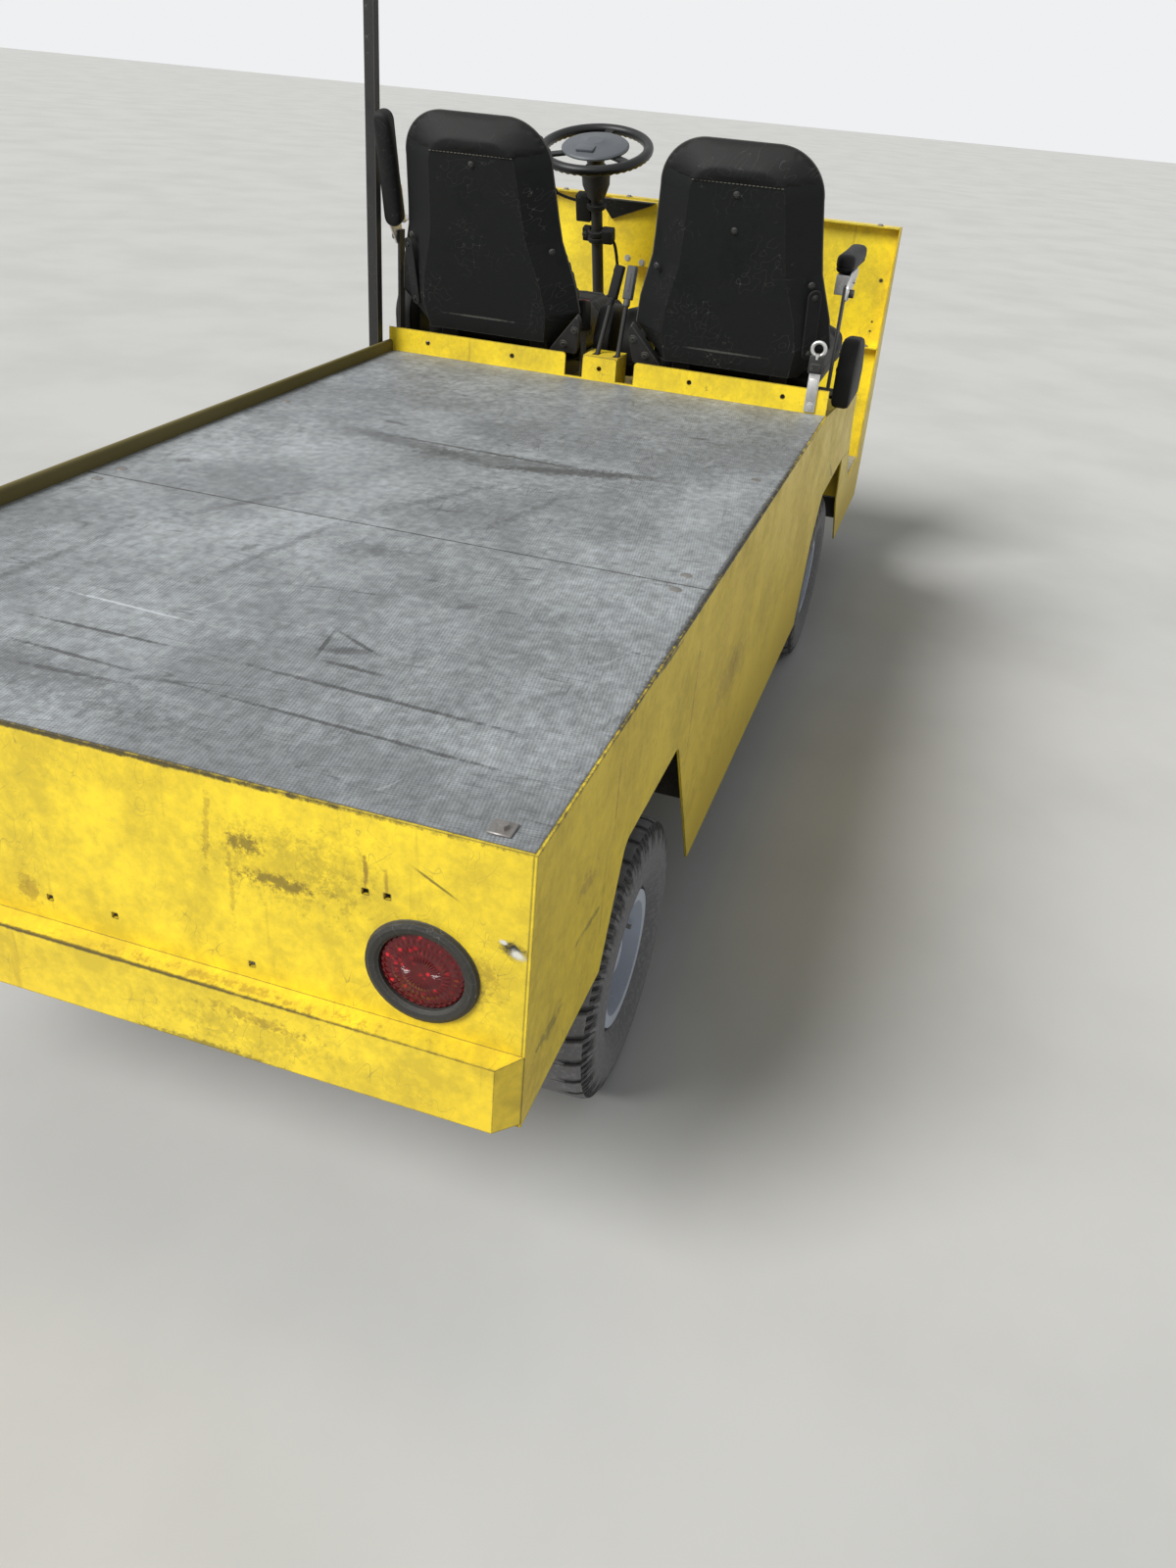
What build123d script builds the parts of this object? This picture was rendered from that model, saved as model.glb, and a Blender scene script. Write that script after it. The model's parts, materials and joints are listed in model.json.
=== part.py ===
"""Electric burden carrier: a two-seat flat-deck truck on four industrial tyres.

Millimetres. +X is forward, +Y is the driver's left and +Z is up. The origin is on the
ground, midway along the vehicle and on its centreline.
"""

from build123d import *
import math
import os

os.makedirs("parts", exist_ok=True)

# Overall lengths along X, from the rear bumper to the front one
REAR_BUMPER_DEPTH = 26.0
DECK_LENGTH = 1958.0
CAB_LENGTH = 1172.0
NOSE_DEPTH = 160.0
FRONT_BUMPER_DEPTH = 104.0
REAR_AXLE_SETBACK = 534.0
DECK_SEAM_SETBACK = 769.0
SEAT_DECK_LENGTH = 420.0
SEAT_BOX_LENGTH = 697.0
FRONT_AXLE_SETBACK = 402.0
OVERALL_LENGTH = REAR_BUMPER_DEPTH + DECK_LENGTH + CAB_LENGTH + NOSE_DEPTH + FRONT_BUMPER_DEPTH

# Stations along X
REAR_X = REAR_BUMPER_DEPTH - OVERALL_LENGTH / 2
STRIP_X = REAR_X + DECK_LENGTH
COWL_X = STRIP_X + CAB_LENGTH
NOSE_X = COWL_X + NOSE_DEPTH
REAR_AXLE_X = REAR_X + REAR_AXLE_SETBACK
FRONT_AXLE_X = STRIP_X + FRONT_AXLE_SETBACK
SEAM_X = REAR_X + DECK_SEAM_SETBACK
RISER_X = STRIP_X + SEAT_BOX_LENGTH

# Wheels and tyres
TYRE_RADIUS = 228.0
TYRE_WIDTH = 135.0
RIM_RADIUS = 102.0
RIM_WIDTH = 96.0
AXLE_Z = TYRE_RADIUS
REAR_TYRE_INSET = 2.0
FRONT_TYRE_INSET = 8.0
SPINDLE_RADIUS = 16.0

# Widths across Y and heights above the ground
BODY_WIDTH = 1124.0
BODY_HALF = BODY_WIDTH / 2
DECK_RISE = 542.0
DECK_Z = AXLE_Z + DECK_RISE
SEAT_DECK_Z = DECK_Z - 45.0
FLOOR_Z = DECK_Z - 390.0
COWL_TOP_Z = DECK_Z + 303.0
SKIRT_Z = DECK_Z - 560.0
QUARTER_Z = DECK_Z - 380.0

# Sheet, plate and fits
SHEET = 4.0
BOARD = 6.0
GAP = 0.3
RUNNING = 0.05

SIDES = (("left", 1), ("right", -1))


def finish(piece, name):
    """Label a finished piece and write it as its own STEP file."""
    piece.label = name
    export_step(piece, f"parts/{name}.step")


def side_plane(y):
    """Plane facing the right side, whose sketch X and Y are the vehicle's X and Z."""
    return Plane.XZ.offset(-y)


def end_plane(x):
    """Plane facing forward, whose sketch X and Y are the vehicle's Y and Z."""
    return Plane.YZ.offset(x)


def vertices_at(points):
    """Vertices of the open sketch that lie at the given points of its plane."""
    return [v for v in vertices() if any(abs(v.X - x) < 1 and abs(v.Y - y) < 1 for x, y in points)]


def dome(radius, foot, crown):
    """Arc of a turned section from its rim to a crown on the axis, square to the axis there."""
    rise = crown - foot
    sphere = (radius**2 + rise**2) / (2 * rise)
    middle = foot + rise - sphere + math.sqrt(sphere**2 - radius**2 / 4)
    return ThreePointArc((radius, foot), (radius / 2, middle), (0, crown))


# Wheel arches: foot and shoulder offsets from the axle, for the rear and front flanks
ARCH_TOP_Z = DECK_Z - 216.0
FRONT_ARCH_TOP_Z = DECK_Z - 250.0
ARCH_FILLET = 30.0
DOOR_FILLET = 26.0

rear_arch = (
    (REAR_AXLE_X - 236.0, QUARTER_Z),
    (REAR_AXLE_X - 158.0, ARCH_TOP_Z),
    (REAR_AXLE_X + 126.0, ARCH_TOP_Z),
    (REAR_AXLE_X + 342.0, SKIRT_Z),
)
front_arch = (
    (FRONT_AXLE_X - 325.0, SKIRT_Z),
    (FRONT_AXLE_X - 264.0, DECK_Z - 350.0),
    (FRONT_AXLE_X - 182.0, FRONT_ARCH_TOP_Z),
    (FRONT_AXLE_X + 195.0, FRONT_ARCH_TOP_Z),
    (FRONT_AXLE_X + 254.0, DECK_Z - 388.0),
    (FRONT_AXLE_X + 420.0, SKIRT_Z),
)

# Doorway edge of the side panel, from the seat deck's front corner down to the sill
DOOR_SILL_Z = DECK_Z - 274.0
door_edge = (
    (STRIP_X + SEAT_DECK_LENGTH - 12.0, DECK_Z - 40.0),
    (RISER_X + 12.0, DECK_Z - 92.0),
    (RISER_X + 14.0, DECK_Z - 150.0),
    (RISER_X + 89.0, DOOR_SILL_Z),
)

# Side panels with their wheel arches, one folded plate a side
for side, sign in SIDES:
    with BuildPart() as side_panel:
        with BuildSketch(side_plane(sign * BODY_HALF)):
            with BuildLine():
                Polyline(
                    (REAR_X, QUARTER_Z),
                    (REAR_X, DECK_Z),
                    (STRIP_X, DECK_Z),
                    *door_edge,
                    front_arch[3],
                    front_arch[2],
                    front_arch[1],
                    front_arch[0],
                    rear_arch[3],
                    rear_arch[2],
                    rear_arch[1],
                    rear_arch[0],
                    close=True,
                )
            make_face()
            fillet(vertices_at(rear_arch[1:3] + front_arch[2:4]), ARCH_FILLET)
            fillet(vertices_at(door_edge[1:2]), DOOR_FILLET)
        extrude(amount=sign * SHEET)
    finish(side_panel.part, f"side_panel_{side}")

# Front quarter panels: below the doorway, in front of the wheel and up the cowl's end
COWL_EDGE = 30.0
NOSE_TOP_X = COWL_X + 25.0
NOSE_FOLD_Z = DECK_Z - 300.0
NOSE_FOLD_X = COWL_X + 140.0

for side, sign in SIDES:
    with BuildPart() as quarter:
        with BuildSketch(side_plane(sign * BODY_HALF)):
            with BuildLine():
                Polyline(
                    (front_arch[3][0] + GAP, front_arch[3][1] - GAP),
                    (door_edge[3][0] + GAP, door_edge[3][1] - GAP),
                    (RISER_X + 150.0, DECK_Z - 345.0),
                    (RISER_X + 230.0, FLOOR_Z),
                    (COWL_X - COWL_EDGE, FLOOR_Z),
                    (COWL_X - COWL_EDGE, COWL_TOP_Z),
                    (NOSE_TOP_X, COWL_TOP_Z),
                    (NOSE_FOLD_X, NOSE_FOLD_Z),
                    (NOSE_X, SKIRT_Z + 130.0),
                    (NOSE_X, SKIRT_Z),
                    front_arch[5],
                    front_arch[4],
                    close=True,
                )
            make_face()
        extrude(amount=sign * SHEET)
    finish(quarter.part, f"front_quarter_{side}")

# Rear panel between the side panels, with a hole for each tail lamp and five small square holes
LAMP_HOLE_RADIUS = 58.0
GROMMET_RADIUS = 68.5
LENS_RADIUS = 51.0
TAIL_LAMP_Y = BODY_HALF - 124.0
TAIL_LAMP_Z = DECK_Z - 188.0
INNER_HALF = BODY_HALF - SHEET
SMALL_HOLE = 8.0
SMALL_HOLES = (  # y, drop below the deck
    (51.0, 236.0),
    (-40.0, 235.0),
    (-223.0, 249.0),
    (-371.0, 100.0),
    (-397.0, 99.0),
)

with BuildPart() as rear_panel:
    with BuildSketch(end_plane(REAR_X)):
        with Locations((0, (DECK_Z + QUARTER_Z) / 2)):
            Rectangle(2 * INNER_HALF, DECK_Z - QUARTER_Z)
        with Locations((TAIL_LAMP_Y, TAIL_LAMP_Z), (-TAIL_LAMP_Y, TAIL_LAMP_Z)):
            Circle(LAMP_HOLE_RADIUS, mode=Mode.SUBTRACT)
        with Locations(*[(y, DECK_Z - drop) for y, drop in SMALL_HOLES]):
            Rectangle(SMALL_HOLE, SMALL_HOLE, mode=Mode.SUBTRACT)
    extrude(amount=SHEET)
finish(rear_panel.part, "rear_panel")

# Bumpers: folded channels with mitred ends, open at the back and below
BUMPER_SLOPE = 7.0
REAR_BUMPER_HEIGHT = 104.0
REAR_BUMPER_Z = QUARTER_Z + 6.0
FRONT_BUMPER_HEIGHT = 126.0
FRONT_BUMPER_MITRE = 80.0


def bumper(back_x, facing, depth, bottom_z, height, mitre):
    """A bumper whose open back stands at back_x and whose face looks along facing."""
    top_z = bottom_z + height
    face_x = back_x + facing * depth
    with BuildPart() as channel:
        with BuildSketch(Plane.XY.offset(bottom_z)):
            with BuildLine():
                Polyline(
                    (back_x, -BODY_HALF),
                    (back_x, BODY_HALF),
                    (face_x, BODY_HALF - mitre),
                    (face_x, mitre - BODY_HALF),
                    close=True,
                )
            make_face()
        extrude(amount=height)
        with BuildSketch(side_plane(0)):
            with BuildLine():
                Polyline(
                    (back_x, top_z),
                    (back_x + 2 * facing * depth, top_z),
                    (back_x + 2 * facing * depth, top_z - 2 * BUMPER_SLOPE),
                    close=True,
                )
            make_face()
        extrude(amount=BODY_WIDTH, both=True, mode=Mode.SUBTRACT)
        bottom = channel.faces().sort_by(Axis.Z)[0]
        back = channel.faces().sort_by(Axis.X)[0 if facing > 0 else -1]
        offset(amount=-SHEET, openings=[bottom, back])
    return channel.part


BUMPERS = (
    # name, back X, facing, depth, bottom Z, height, mitre
    ("rear_bumper", REAR_X, -1, REAR_BUMPER_DEPTH, REAR_BUMPER_Z, REAR_BUMPER_HEIGHT, REAR_BUMPER_DEPTH),
    ("front_bumper", NOSE_X, 1, FRONT_BUMPER_DEPTH, SKIRT_Z, FRONT_BUMPER_HEIGHT, FRONT_BUMPER_MITRE),
)
for name, back_x, facing, depth, bottom_z, height, mitre in BUMPERS:
    finish(bumper(back_x, facing, depth, bottom_z, height, mitre), name)

# Deck boards, flush with the rear panel's top edge and stopping at the lip on the left
BOARD_SEAM = 2.0
LIP_WIDTH = 14.0
LIP_HEIGHT = 26.0
BOARD_LEFT = BODY_HALF - LIP_WIDTH - GAP
BOARD_RIGHT = GAP - INNER_HALF
BOARD_ENDS = ((REAR_X + SHEET + GAP, SEAM_X - BOARD_SEAM / 2), (SEAM_X + BOARD_SEAM / 2, STRIP_X - GAP))

with BuildPart() as deck_boards:
    for rear, front in BOARD_ENDS:
        with BuildSketch(Plane.XY.offset(DECK_Z)):
            with Locations(((rear + front) / 2, (BOARD_LEFT + BOARD_RIGHT) / 2)):
                Rectangle(front - rear, BOARD_LEFT - BOARD_RIGHT)
        extrude(amount=-BOARD)
finish(deck_boards.part, "deck_boards")

# Raised lip along the deck's left edge, stepped over the side panel
with BuildPart() as deck_lip:
    with BuildSketch(end_plane(REAR_X + SHEET + GAP)):
        with BuildLine():
            Polyline(
                (BODY_HALF - LIP_WIDTH, DECK_Z - BOARD + GAP),
                (INNER_HALF - GAP, DECK_Z - BOARD + GAP),
                (INNER_HALF - GAP, DECK_Z),
                (BODY_HALF, DECK_Z),
                (BODY_HALF, DECK_Z + LIP_HEIGHT),
                (BODY_HALF - LIP_WIDTH, DECK_Z + LIP_HEIGHT),
                close=True,
            )
        make_face()
        fillet(vertices().group_by(Axis.Y)[-1], LIP_WIDTH / 2 - 0.5)
    extrude(amount=DECK_LENGTH - SHEET - 2 * GAP)
finish(deck_lip.part, "deck_lip")

# Bulkhead strip across the deck's front edge, with two lever notches and a rack bolt line
STRIP_HEIGHT = 56.0
RACK_HOLE_RADIUS = 5.5
RACK_HOLE_PITCH = 225.8
RACK_HOLE_COUNT = 5
RACK_HOLE_Z = DECK_Z + 29.0
LEVER_BOX_HALF = 43.0
NOTCH_WIDTH = 44.0
NOTCH_Z = DECK_Z + 4.0
NOTCH_FILLET = 8.0

with BuildPart() as bulkhead_strip:
    with BuildSketch(end_plane(STRIP_X)):
        with Locations((0, (DECK_Z + STRIP_HEIGHT + SEAT_DECK_Z) / 2)):
            Rectangle(2 * INNER_HALF - 2 * GAP, DECK_Z + STRIP_HEIGHT - SEAT_DECK_Z)
        notch_y = LEVER_BOX_HALF + NOTCH_WIDTH / 2
        with Locations((notch_y, NOTCH_Z + STRIP_HEIGHT / 2), (-notch_y, NOTCH_Z + STRIP_HEIGHT / 2)):
            Rectangle(NOTCH_WIDTH, STRIP_HEIGHT, mode=Mode.SUBTRACT)
        top_corners = vertices().group_by(Axis.Y)[-1]
        fillet([v for v in top_corners if abs(v.X) < BODY_HALF / 2], NOTCH_FILLET)
        with Locations((0, RACK_HOLE_Z)):
            with GridLocations(RACK_HOLE_PITCH, 0, RACK_HOLE_COUNT, 1):
                Circle(RACK_HOLE_RADIUS, mode=Mode.SUBTRACT)
    extrude(amount=SHEET)
finish(bulkhead_strip.part, "bulkhead_strip")

# Lever box behind the strip's middle, with a slot for each hand lever
LEVER_BOX_DEPTH = 84.0
LEVER_BOX_WALL = 3.0
LEVER_SLOT = (44.0, 16.0)
LEVER_SLOT_X = STRIP_X + 42.0
LEVER_FOOT = (22.0, 16.0, 16.0)
LEVERS = (  # y of the foot, lean to the right in degrees
    (30.0, 7.0),
    (-31.0, 1.0),
)
lever_drop = DECK_Z + STRIP_HEIGHT - SEAT_DECK_Z - LEVER_FOOT[2] / 2
slot_ys = [y - lever_drop * math.tan(math.radians(lean)) for y, lean in LEVERS]

with BuildPart() as lever_box:
    with BuildSketch(end_plane(STRIP_X + SHEET + GAP)):
        with Locations((0, (SEAT_DECK_Z + DECK_Z + STRIP_HEIGHT) / 2 + GAP)):
            Rectangle(2 * LEVER_BOX_HALF, DECK_Z + STRIP_HEIGHT - SEAT_DECK_Z)
    extrude(amount=LEVER_BOX_DEPTH)
    box_bottom = lever_box.faces().sort_by(Axis.Z)[0]
    box_back = lever_box.faces().sort_by(Axis.X)[0]
    offset(amount=-LEVER_BOX_WALL, openings=[box_bottom, box_back])
    with BuildSketch(Plane.XY.offset(DECK_Z)):
        with Locations(*[(LEVER_SLOT_X, y) for y in slot_ys]):
            Rectangle(*LEVER_SLOT)
    extrude(amount=2 * STRIP_HEIGHT, mode=Mode.SUBTRACT)
finish(lever_box.part, "lever_box")

# Seat deck and front riser, one folded sheet between the side panels
SEAT_DECK_FOLD_X = STRIP_X + SEAT_DECK_LENGTH
BEND_RADIUS = 16.0

with BuildPart() as seat_box:
    with BuildSketch(side_plane(-INNER_HALF + GAP)):
        with BuildLine():
            FilletPolyline(
                (STRIP_X + SHEET + GAP, SEAT_DECK_Z),
                (SEAT_DECK_FOLD_X, SEAT_DECK_Z),
                (RISER_X, door_edge[1][1] - 8.0),
                (RISER_X, FLOOR_Z),
                radius=BEND_RADIUS,
            )
            offset(amount=SHEET, side=Side.RIGHT)
        make_face()
    extrude(amount=-2 * (INNER_HALF - GAP))
finish(seat_box.part, "seat_box")

# Footwell floor
with BuildPart() as footwell_floor:
    with BuildSketch(Plane.XY.offset(FLOOR_Z)):
        with Locations(((RISER_X - SHEET + COWL_X) / 2, 0)):
            Rectangle(COWL_X - RISER_X + SHEET, 2 * (INNER_HALF - GAP))
    extrude(amount=-SHEET)
finish(footwell_floor.part, "footwell_floor")

# Cowl wall with its top flange and the ledge across it
LEDGE_Z = DECK_Z - 42.0
COWL_FLANGE = 30.0

with BuildPart() as cowl_wall:
    with BuildSketch(side_plane(-INNER_HALF + GAP)):
        with Locations((COWL_X + SHEET / 2, (FLOOR_Z - SHEET + COWL_TOP_Z) / 2)):
            Rectangle(SHEET, COWL_TOP_Z - FLOOR_Z + SHEET)
        with Locations(*[(COWL_X - COWL_FLANGE / 2, z - SHEET / 2) for z in (COWL_TOP_Z, LEDGE_Z)]):
            Rectangle(COWL_FLANGE, SHEET)
    extrude(amount=-2 * (INNER_HALF - GAP))
finish(cowl_wall.part, "cowl_wall")

# Nose sheet from the cowl's top down to the skirt, with a hole for each headlamp
HEADLAMP_Y = BODY_HALF - 162.0
HEADLAMP_Z = DECK_Z - 120.0
nose_tilt = math.atan2(NOSE_FOLD_X - NOSE_TOP_X, COWL_TOP_Z - NOSE_FOLD_Z)
headlamp_x = NOSE_TOP_X + (COWL_TOP_Z - HEADLAMP_Z) * math.tan(nose_tilt)


def headlamp_plane(y):
    """Plane on the nose's sloping face, looking out along its normal."""
    normal = (math.cos(nose_tilt), 0, math.sin(nose_tilt))
    return Plane(origin=(headlamp_x, y, HEADLAMP_Z), x_dir=(0, 1, 0), z_dir=normal)


with BuildPart() as nose_shell:
    with BuildSketch(side_plane(-INNER_HALF + GAP)):
        with BuildLine():
            Polyline(
                (COWL_X + SHEET + GAP, COWL_TOP_Z),
                (NOSE_TOP_X, COWL_TOP_Z),
                (NOSE_FOLD_X, NOSE_FOLD_Z),
                (NOSE_X, SKIRT_Z + FRONT_BUMPER_HEIGHT + 4.0),
                (NOSE_X, SKIRT_Z),
            )
            offset(amount=SHEET, side=Side.RIGHT)
        make_face()
    extrude(amount=-2 * (INNER_HALF - GAP))
    for _, sign in SIDES:
        with BuildSketch(headlamp_plane(sign * HEADLAMP_Y)):
            Circle(LAMP_HOLE_RADIUS)
        extrude(amount=20, both=True, mode=Mode.SUBTRACT)
finish(nose_shell.part, "nose_shell")

# Round lamps: a rubber grommet gripping the panel and a domed lens inside it
GROMMET_PROUD = 8.0
LAMP_DEPTH = 26.0

with BuildPart() as grommet:
    with BuildSketch(Plane.XZ):
        with BuildLine():
            Polyline(
                (LENS_RADIUS + GAP, -LAMP_DEPTH),
                (LAMP_HOLE_RADIUS - GAP, -LAMP_DEPTH),
                (LAMP_HOLE_RADIUS - GAP, GAP),
                (GROMMET_RADIUS, GAP),
                (GROMMET_RADIUS - 2, GROMMET_PROUD - 2),
                (GROMMET_RADIUS - 7, GROMMET_PROUD),
                (LENS_RADIUS + 4, GROMMET_PROUD - 1),
                (LENS_RADIUS + GAP, GROMMET_PROUD - 4),
                close=True,
            )
        make_face()
    revolve(axis=Axis.Z)

with BuildPart() as lens:
    with BuildSketch(Plane.XZ):
        with BuildLine():
            Line((0, -LAMP_DEPTH), (LENS_RADIUS, -LAMP_DEPTH))
            Line((LENS_RADIUS, -LAMP_DEPTH), (LENS_RADIUS, 0))
            dome(LENS_RADIUS, 0, 5)
            Line((0, 5), (0, -LAMP_DEPTH))
        make_face()
    revolve(axis=Axis.Z)

tail_planes = [
    Plane(origin=(REAR_X, sign * TAIL_LAMP_Y, TAIL_LAMP_Z), x_dir=(0, 1, 0), z_dir=(-1, 0, 0))
    for _, sign in SIDES
]
head_planes = [headlamp_plane(sign * HEADLAMP_Y) for _, sign in SIDES]
for name, solid, planes in (
    ("lamp_grommets", grommet, tail_planes + head_planes),
    ("tail_lenses", lens, tail_planes),
    ("headlamp_lenses", lens, head_planes),
):
    with BuildPart() as lamps:
        with Locations(*planes):
            add(solid.part)
    finish(lamps.part, name)

# Dash console on the cowl wall, right of the steering column, and its black instrument panel
DASH_DEPTH = 66.0
DASH_WALL = 3.0
DASH_FILLET = 26.0
DASH_LEFT_Y = BODY_HALF - 226.0
DASH_RIGHT_Y = 312.0 - BODY_HALF
DASH_SLANT = 50.0
DASH_FOOT_Z = DECK_Z + 112.0
DASH_STEP_Z = DECK_Z + 222.0
dash_top_z = COWL_TOP_Z - SHEET - GAP

with BuildPart() as dash_console:
    with BuildSketch(end_plane(COWL_X - GAP)):
        with BuildLine():
            Polyline(
                (DASH_LEFT_Y, dash_top_z),
                (DASH_LEFT_Y, DASH_STEP_Z),
                (DASH_LEFT_Y - DASH_SLANT, DASH_FOOT_Z),
                (DASH_RIGHT_Y + DASH_SLANT, DASH_FOOT_Z),
                (DASH_RIGHT_Y, DASH_STEP_Z),
                (DASH_RIGHT_Y, dash_top_z),
                close=True,
            )
        make_face()
        fillet(vertices().group_by(Axis.Y)[0] + vertices().group_by(Axis.Y)[1], DASH_FILLET)
    extrude(amount=-DASH_DEPTH)
    offset(amount=-DASH_WALL, openings=dash_console.faces().sort_by(Axis.X)[-1:])
finish(dash_console.part, "dash_console")

# Wedge-shaped panel on the console's left end: deepest at the top, its lower edge rising inwards
PANEL_DEPTH = 34.0
PANEL_LIP = 8.0
PANEL_HEIGHT = 58.0
PANEL_LEFT_Y = DASH_LEFT_Y + 28.0
PANEL_LENGTH = 176.0
panel_x = COWL_X - GAP - DASH_DEPTH - GAP
panel_foot_z = dash_top_z - PANEL_HEIGHT

with BuildPart() as instrument_panel:
    with BuildSketch(side_plane(PANEL_LEFT_Y - PANEL_LENGTH)):
        with BuildLine():
            Polyline(
                (panel_x, dash_top_z),
                (panel_x - PANEL_DEPTH, dash_top_z),
                (panel_x - PANEL_LIP, panel_foot_z),
                (panel_x, panel_foot_z),
                close=True,
            )
        make_face()
    extrude(amount=-PANEL_LENGTH)
    with BuildSketch(end_plane(panel_x)):
        with BuildLine():
            Polyline(
                (PANEL_LEFT_Y, dash_top_z),
                (PANEL_LEFT_Y - 40.0, panel_foot_z),
                (PANEL_LEFT_Y - PANEL_LENGTH + 12.0, dash_top_z - 10.0),
                (PANEL_LEFT_Y - PANEL_LENGTH, dash_top_z),
                close=True,
            )
        make_face()
    extrude(amount=-PANEL_DEPTH, mode=Mode.INTERSECT)
finish(instrument_panel.part, "instrument_panel")

# Wheel and kingpin places across the body, from its sides inwards
REAR_WHEEL_Y = BODY_HALF - REAR_TYRE_INSET - TYRE_WIDTH / 2
FRONT_WHEEL_Y = BODY_HALF - FRONT_TYRE_INSET - TYRE_WIDTH / 2
KINGPIN_Y = FRONT_WHEEL_Y - 106.5
SPRING_Y = KINGPIN_Y - 128.0

# Chassis rails with their cross members and spring hangers, each a straight bar welded to the next
RAIL_Y = SPRING_Y - 60.0
RAIL_WIDTH = 50.0
RAIL_TOP_Z = FLOOR_Z - SHEET
RAIL_HEIGHT = 76.0
RAIL_REAR_X = REAR_X + 180.0
RAIL_FRONT_X = NOSE_X - SHEET - 10.0
MEMBER = 50.0
MEMBER_HALF = INNER_HALF - GAP
LOW_MEMBERS_X = (
    REAR_AXLE_X + 416.0,
    STRIP_X - 508.0,
    FRONT_AXLE_X - 410.0,
    FRONT_AXLE_X + 370.0,
    RAIL_FRONT_X - MEMBER / 2,
)
SPRING_WIDTH = 50.0
SPRING_HALF_LENGTH = 300.0
SPRING_EYE_RADIUS = 14.0
LEAF = 8.0
LEAF_COUNT = 4
SPRING_SEAT_Z = AXLE_Z + 34.0
SPRING_CAMBER = 46.0
HANGER_LENGTH = 36.0
spring_eye_z = SPRING_SEAT_Z + LEAF_COUNT * LEAF - LEAF / 2 + SPRING_CAMBER
hanger_z = spring_eye_z + SPRING_EYE_RADIUS + GAP
rail_inner = RAIL_Y - RAIL_WIDTH / 2
rail_outer = RAIL_Y + RAIL_WIDTH / 2
SPRINGS = [(x, sign) for x in (REAR_AXLE_X, FRONT_AXLE_X) for _, sign in SIDES]


def beam(low, high):
    """Add a box between two opposite corners."""
    size = [h - l for l, h in zip(low, high)]
    with Locations(tuple((l + h) / 2 for l, h in zip(low, high))):
        Box(*size)


def across(sign, inner, outer):
    """Lower and higher Y of a stretch between two distances from the centreline, on one side."""
    return sorted((sign * inner, sign * outer))


with BuildPart() as chassis_rails:
    for _, sign in SIDES:
        low_y, high_y = across(sign, rail_inner, rail_outer)
        beam((RAIL_REAR_X, low_y, RAIL_TOP_Z - RAIL_HEIGHT), (RAIL_FRONT_X, high_y, RAIL_TOP_Z))
    for x in LOW_MEMBERS_X:
        for low_y, high_y in (
            across(1, rail_outer + GAP, MEMBER_HALF),
            across(-1, rail_outer + GAP, MEMBER_HALF),
            (GAP - rail_inner, rail_inner - GAP),
        ):
            beam((x - MEMBER / 2, low_y, RAIL_TOP_Z - RAIL_HEIGHT), (x + MEMBER / 2, high_y, RAIL_TOP_Z))
    for axle_x, sign in SPRINGS:
        low_y, high_y = across(sign, rail_outer + GAP, SPRING_Y + SPRING_WIDTH / 2)
        for x in (axle_x - SPRING_HALF_LENGTH, axle_x + SPRING_HALF_LENGTH):
            beam((x - HANGER_LENGTH / 2, low_y, hanger_z), (x + HANGER_LENGTH / 2, high_y, RAIL_TOP_Z))
finish(chassis_rails.part, "chassis_rails")

# Deck frame: cross members under the boards, on two stringers and their posts
DECK_MEMBER_HEIGHT = 58.0
STRINGER_HEIGHT = 28.0
MEMBER_PITCH = 400.0
POST_BEHIND_AXLE = 174.0
POST_AHEAD_OF_AXLE = 316.0
LAST_MEMBER_X = STRIP_X - 40.0
DECK_MEMBERS_X = (
    REAR_X + 60.0,
    REAR_AXLE_X - POST_BEHIND_AXLE,
    SEAM_X,
    SEAM_X + MEMBER_PITCH,
    LAST_MEMBER_X - MEMBER_PITCH,
    LAST_MEMBER_X,
)
DECK_POSTS_X = (REAR_AXLE_X - POST_BEHIND_AXLE, REAR_AXLE_X + POST_AHEAD_OF_AXLE, LAST_MEMBER_X)
deck_member_z = DECK_Z - BOARD - DECK_MEMBER_HEIGHT
stringer_z = deck_member_z - GAP - STRINGER_HEIGHT

with BuildPart() as deck_frame:
    for x in DECK_MEMBERS_X:
        beam((x - MEMBER / 2, -MEMBER_HALF, deck_member_z), (x + MEMBER / 2, MEMBER_HALF, DECK_Z - BOARD))
    for _, sign in SIDES:
        low_y, high_y = across(sign, rail_inner, rail_outer)
        beam((DECK_MEMBERS_X[0], low_y, stringer_z), (DECK_MEMBERS_X[-1], high_y, deck_member_z - GAP))
        for x in DECK_POSTS_X:
            beam((x - MEMBER / 2, low_y, RAIL_TOP_Z + GAP), (x + MEMBER / 2, high_y, stringer_z - GAP))
finish(deck_frame.part, "deck_frame")

# Seat supports: two cross members under the seat deck, each on two posts
SEAT_POST_SETBACK = 130.0
SEAT_POSTS_X = (STRIP_X + SEAT_POST_SETBACK, SEAT_DECK_FOLD_X - 40.0)
seat_member_top = SEAT_DECK_Z - SHEET

with BuildPart() as seat_supports:
    for x in SEAT_POSTS_X:
        beam(
            (x - MEMBER / 2, -MEMBER_HALF, seat_member_top - MEMBER),
            (x + MEMBER / 2, MEMBER_HALF, seat_member_top),
        )
        for _, sign in SIDES:
            low_y, high_y = across(sign, rail_inner, rail_outer)
            beam(
                (x - MEMBER / 2, low_y, RAIL_TOP_Z + GAP),
                (x + MEMBER / 2, high_y, seat_member_top - MEMBER - GAP),
            )
finish(seat_supports.part, "seat_supports")

# Battery pack on the rails under the deck, as one block
BATTERY_HALF_WIDTH = BODY_HALF - 262.0
BATTERY_HEIGHT = 296.0
BATTERY_LENGTH = 860.0
BATTERY_REAR_X = DECK_POSTS_X[1] + MEMBER

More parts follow.
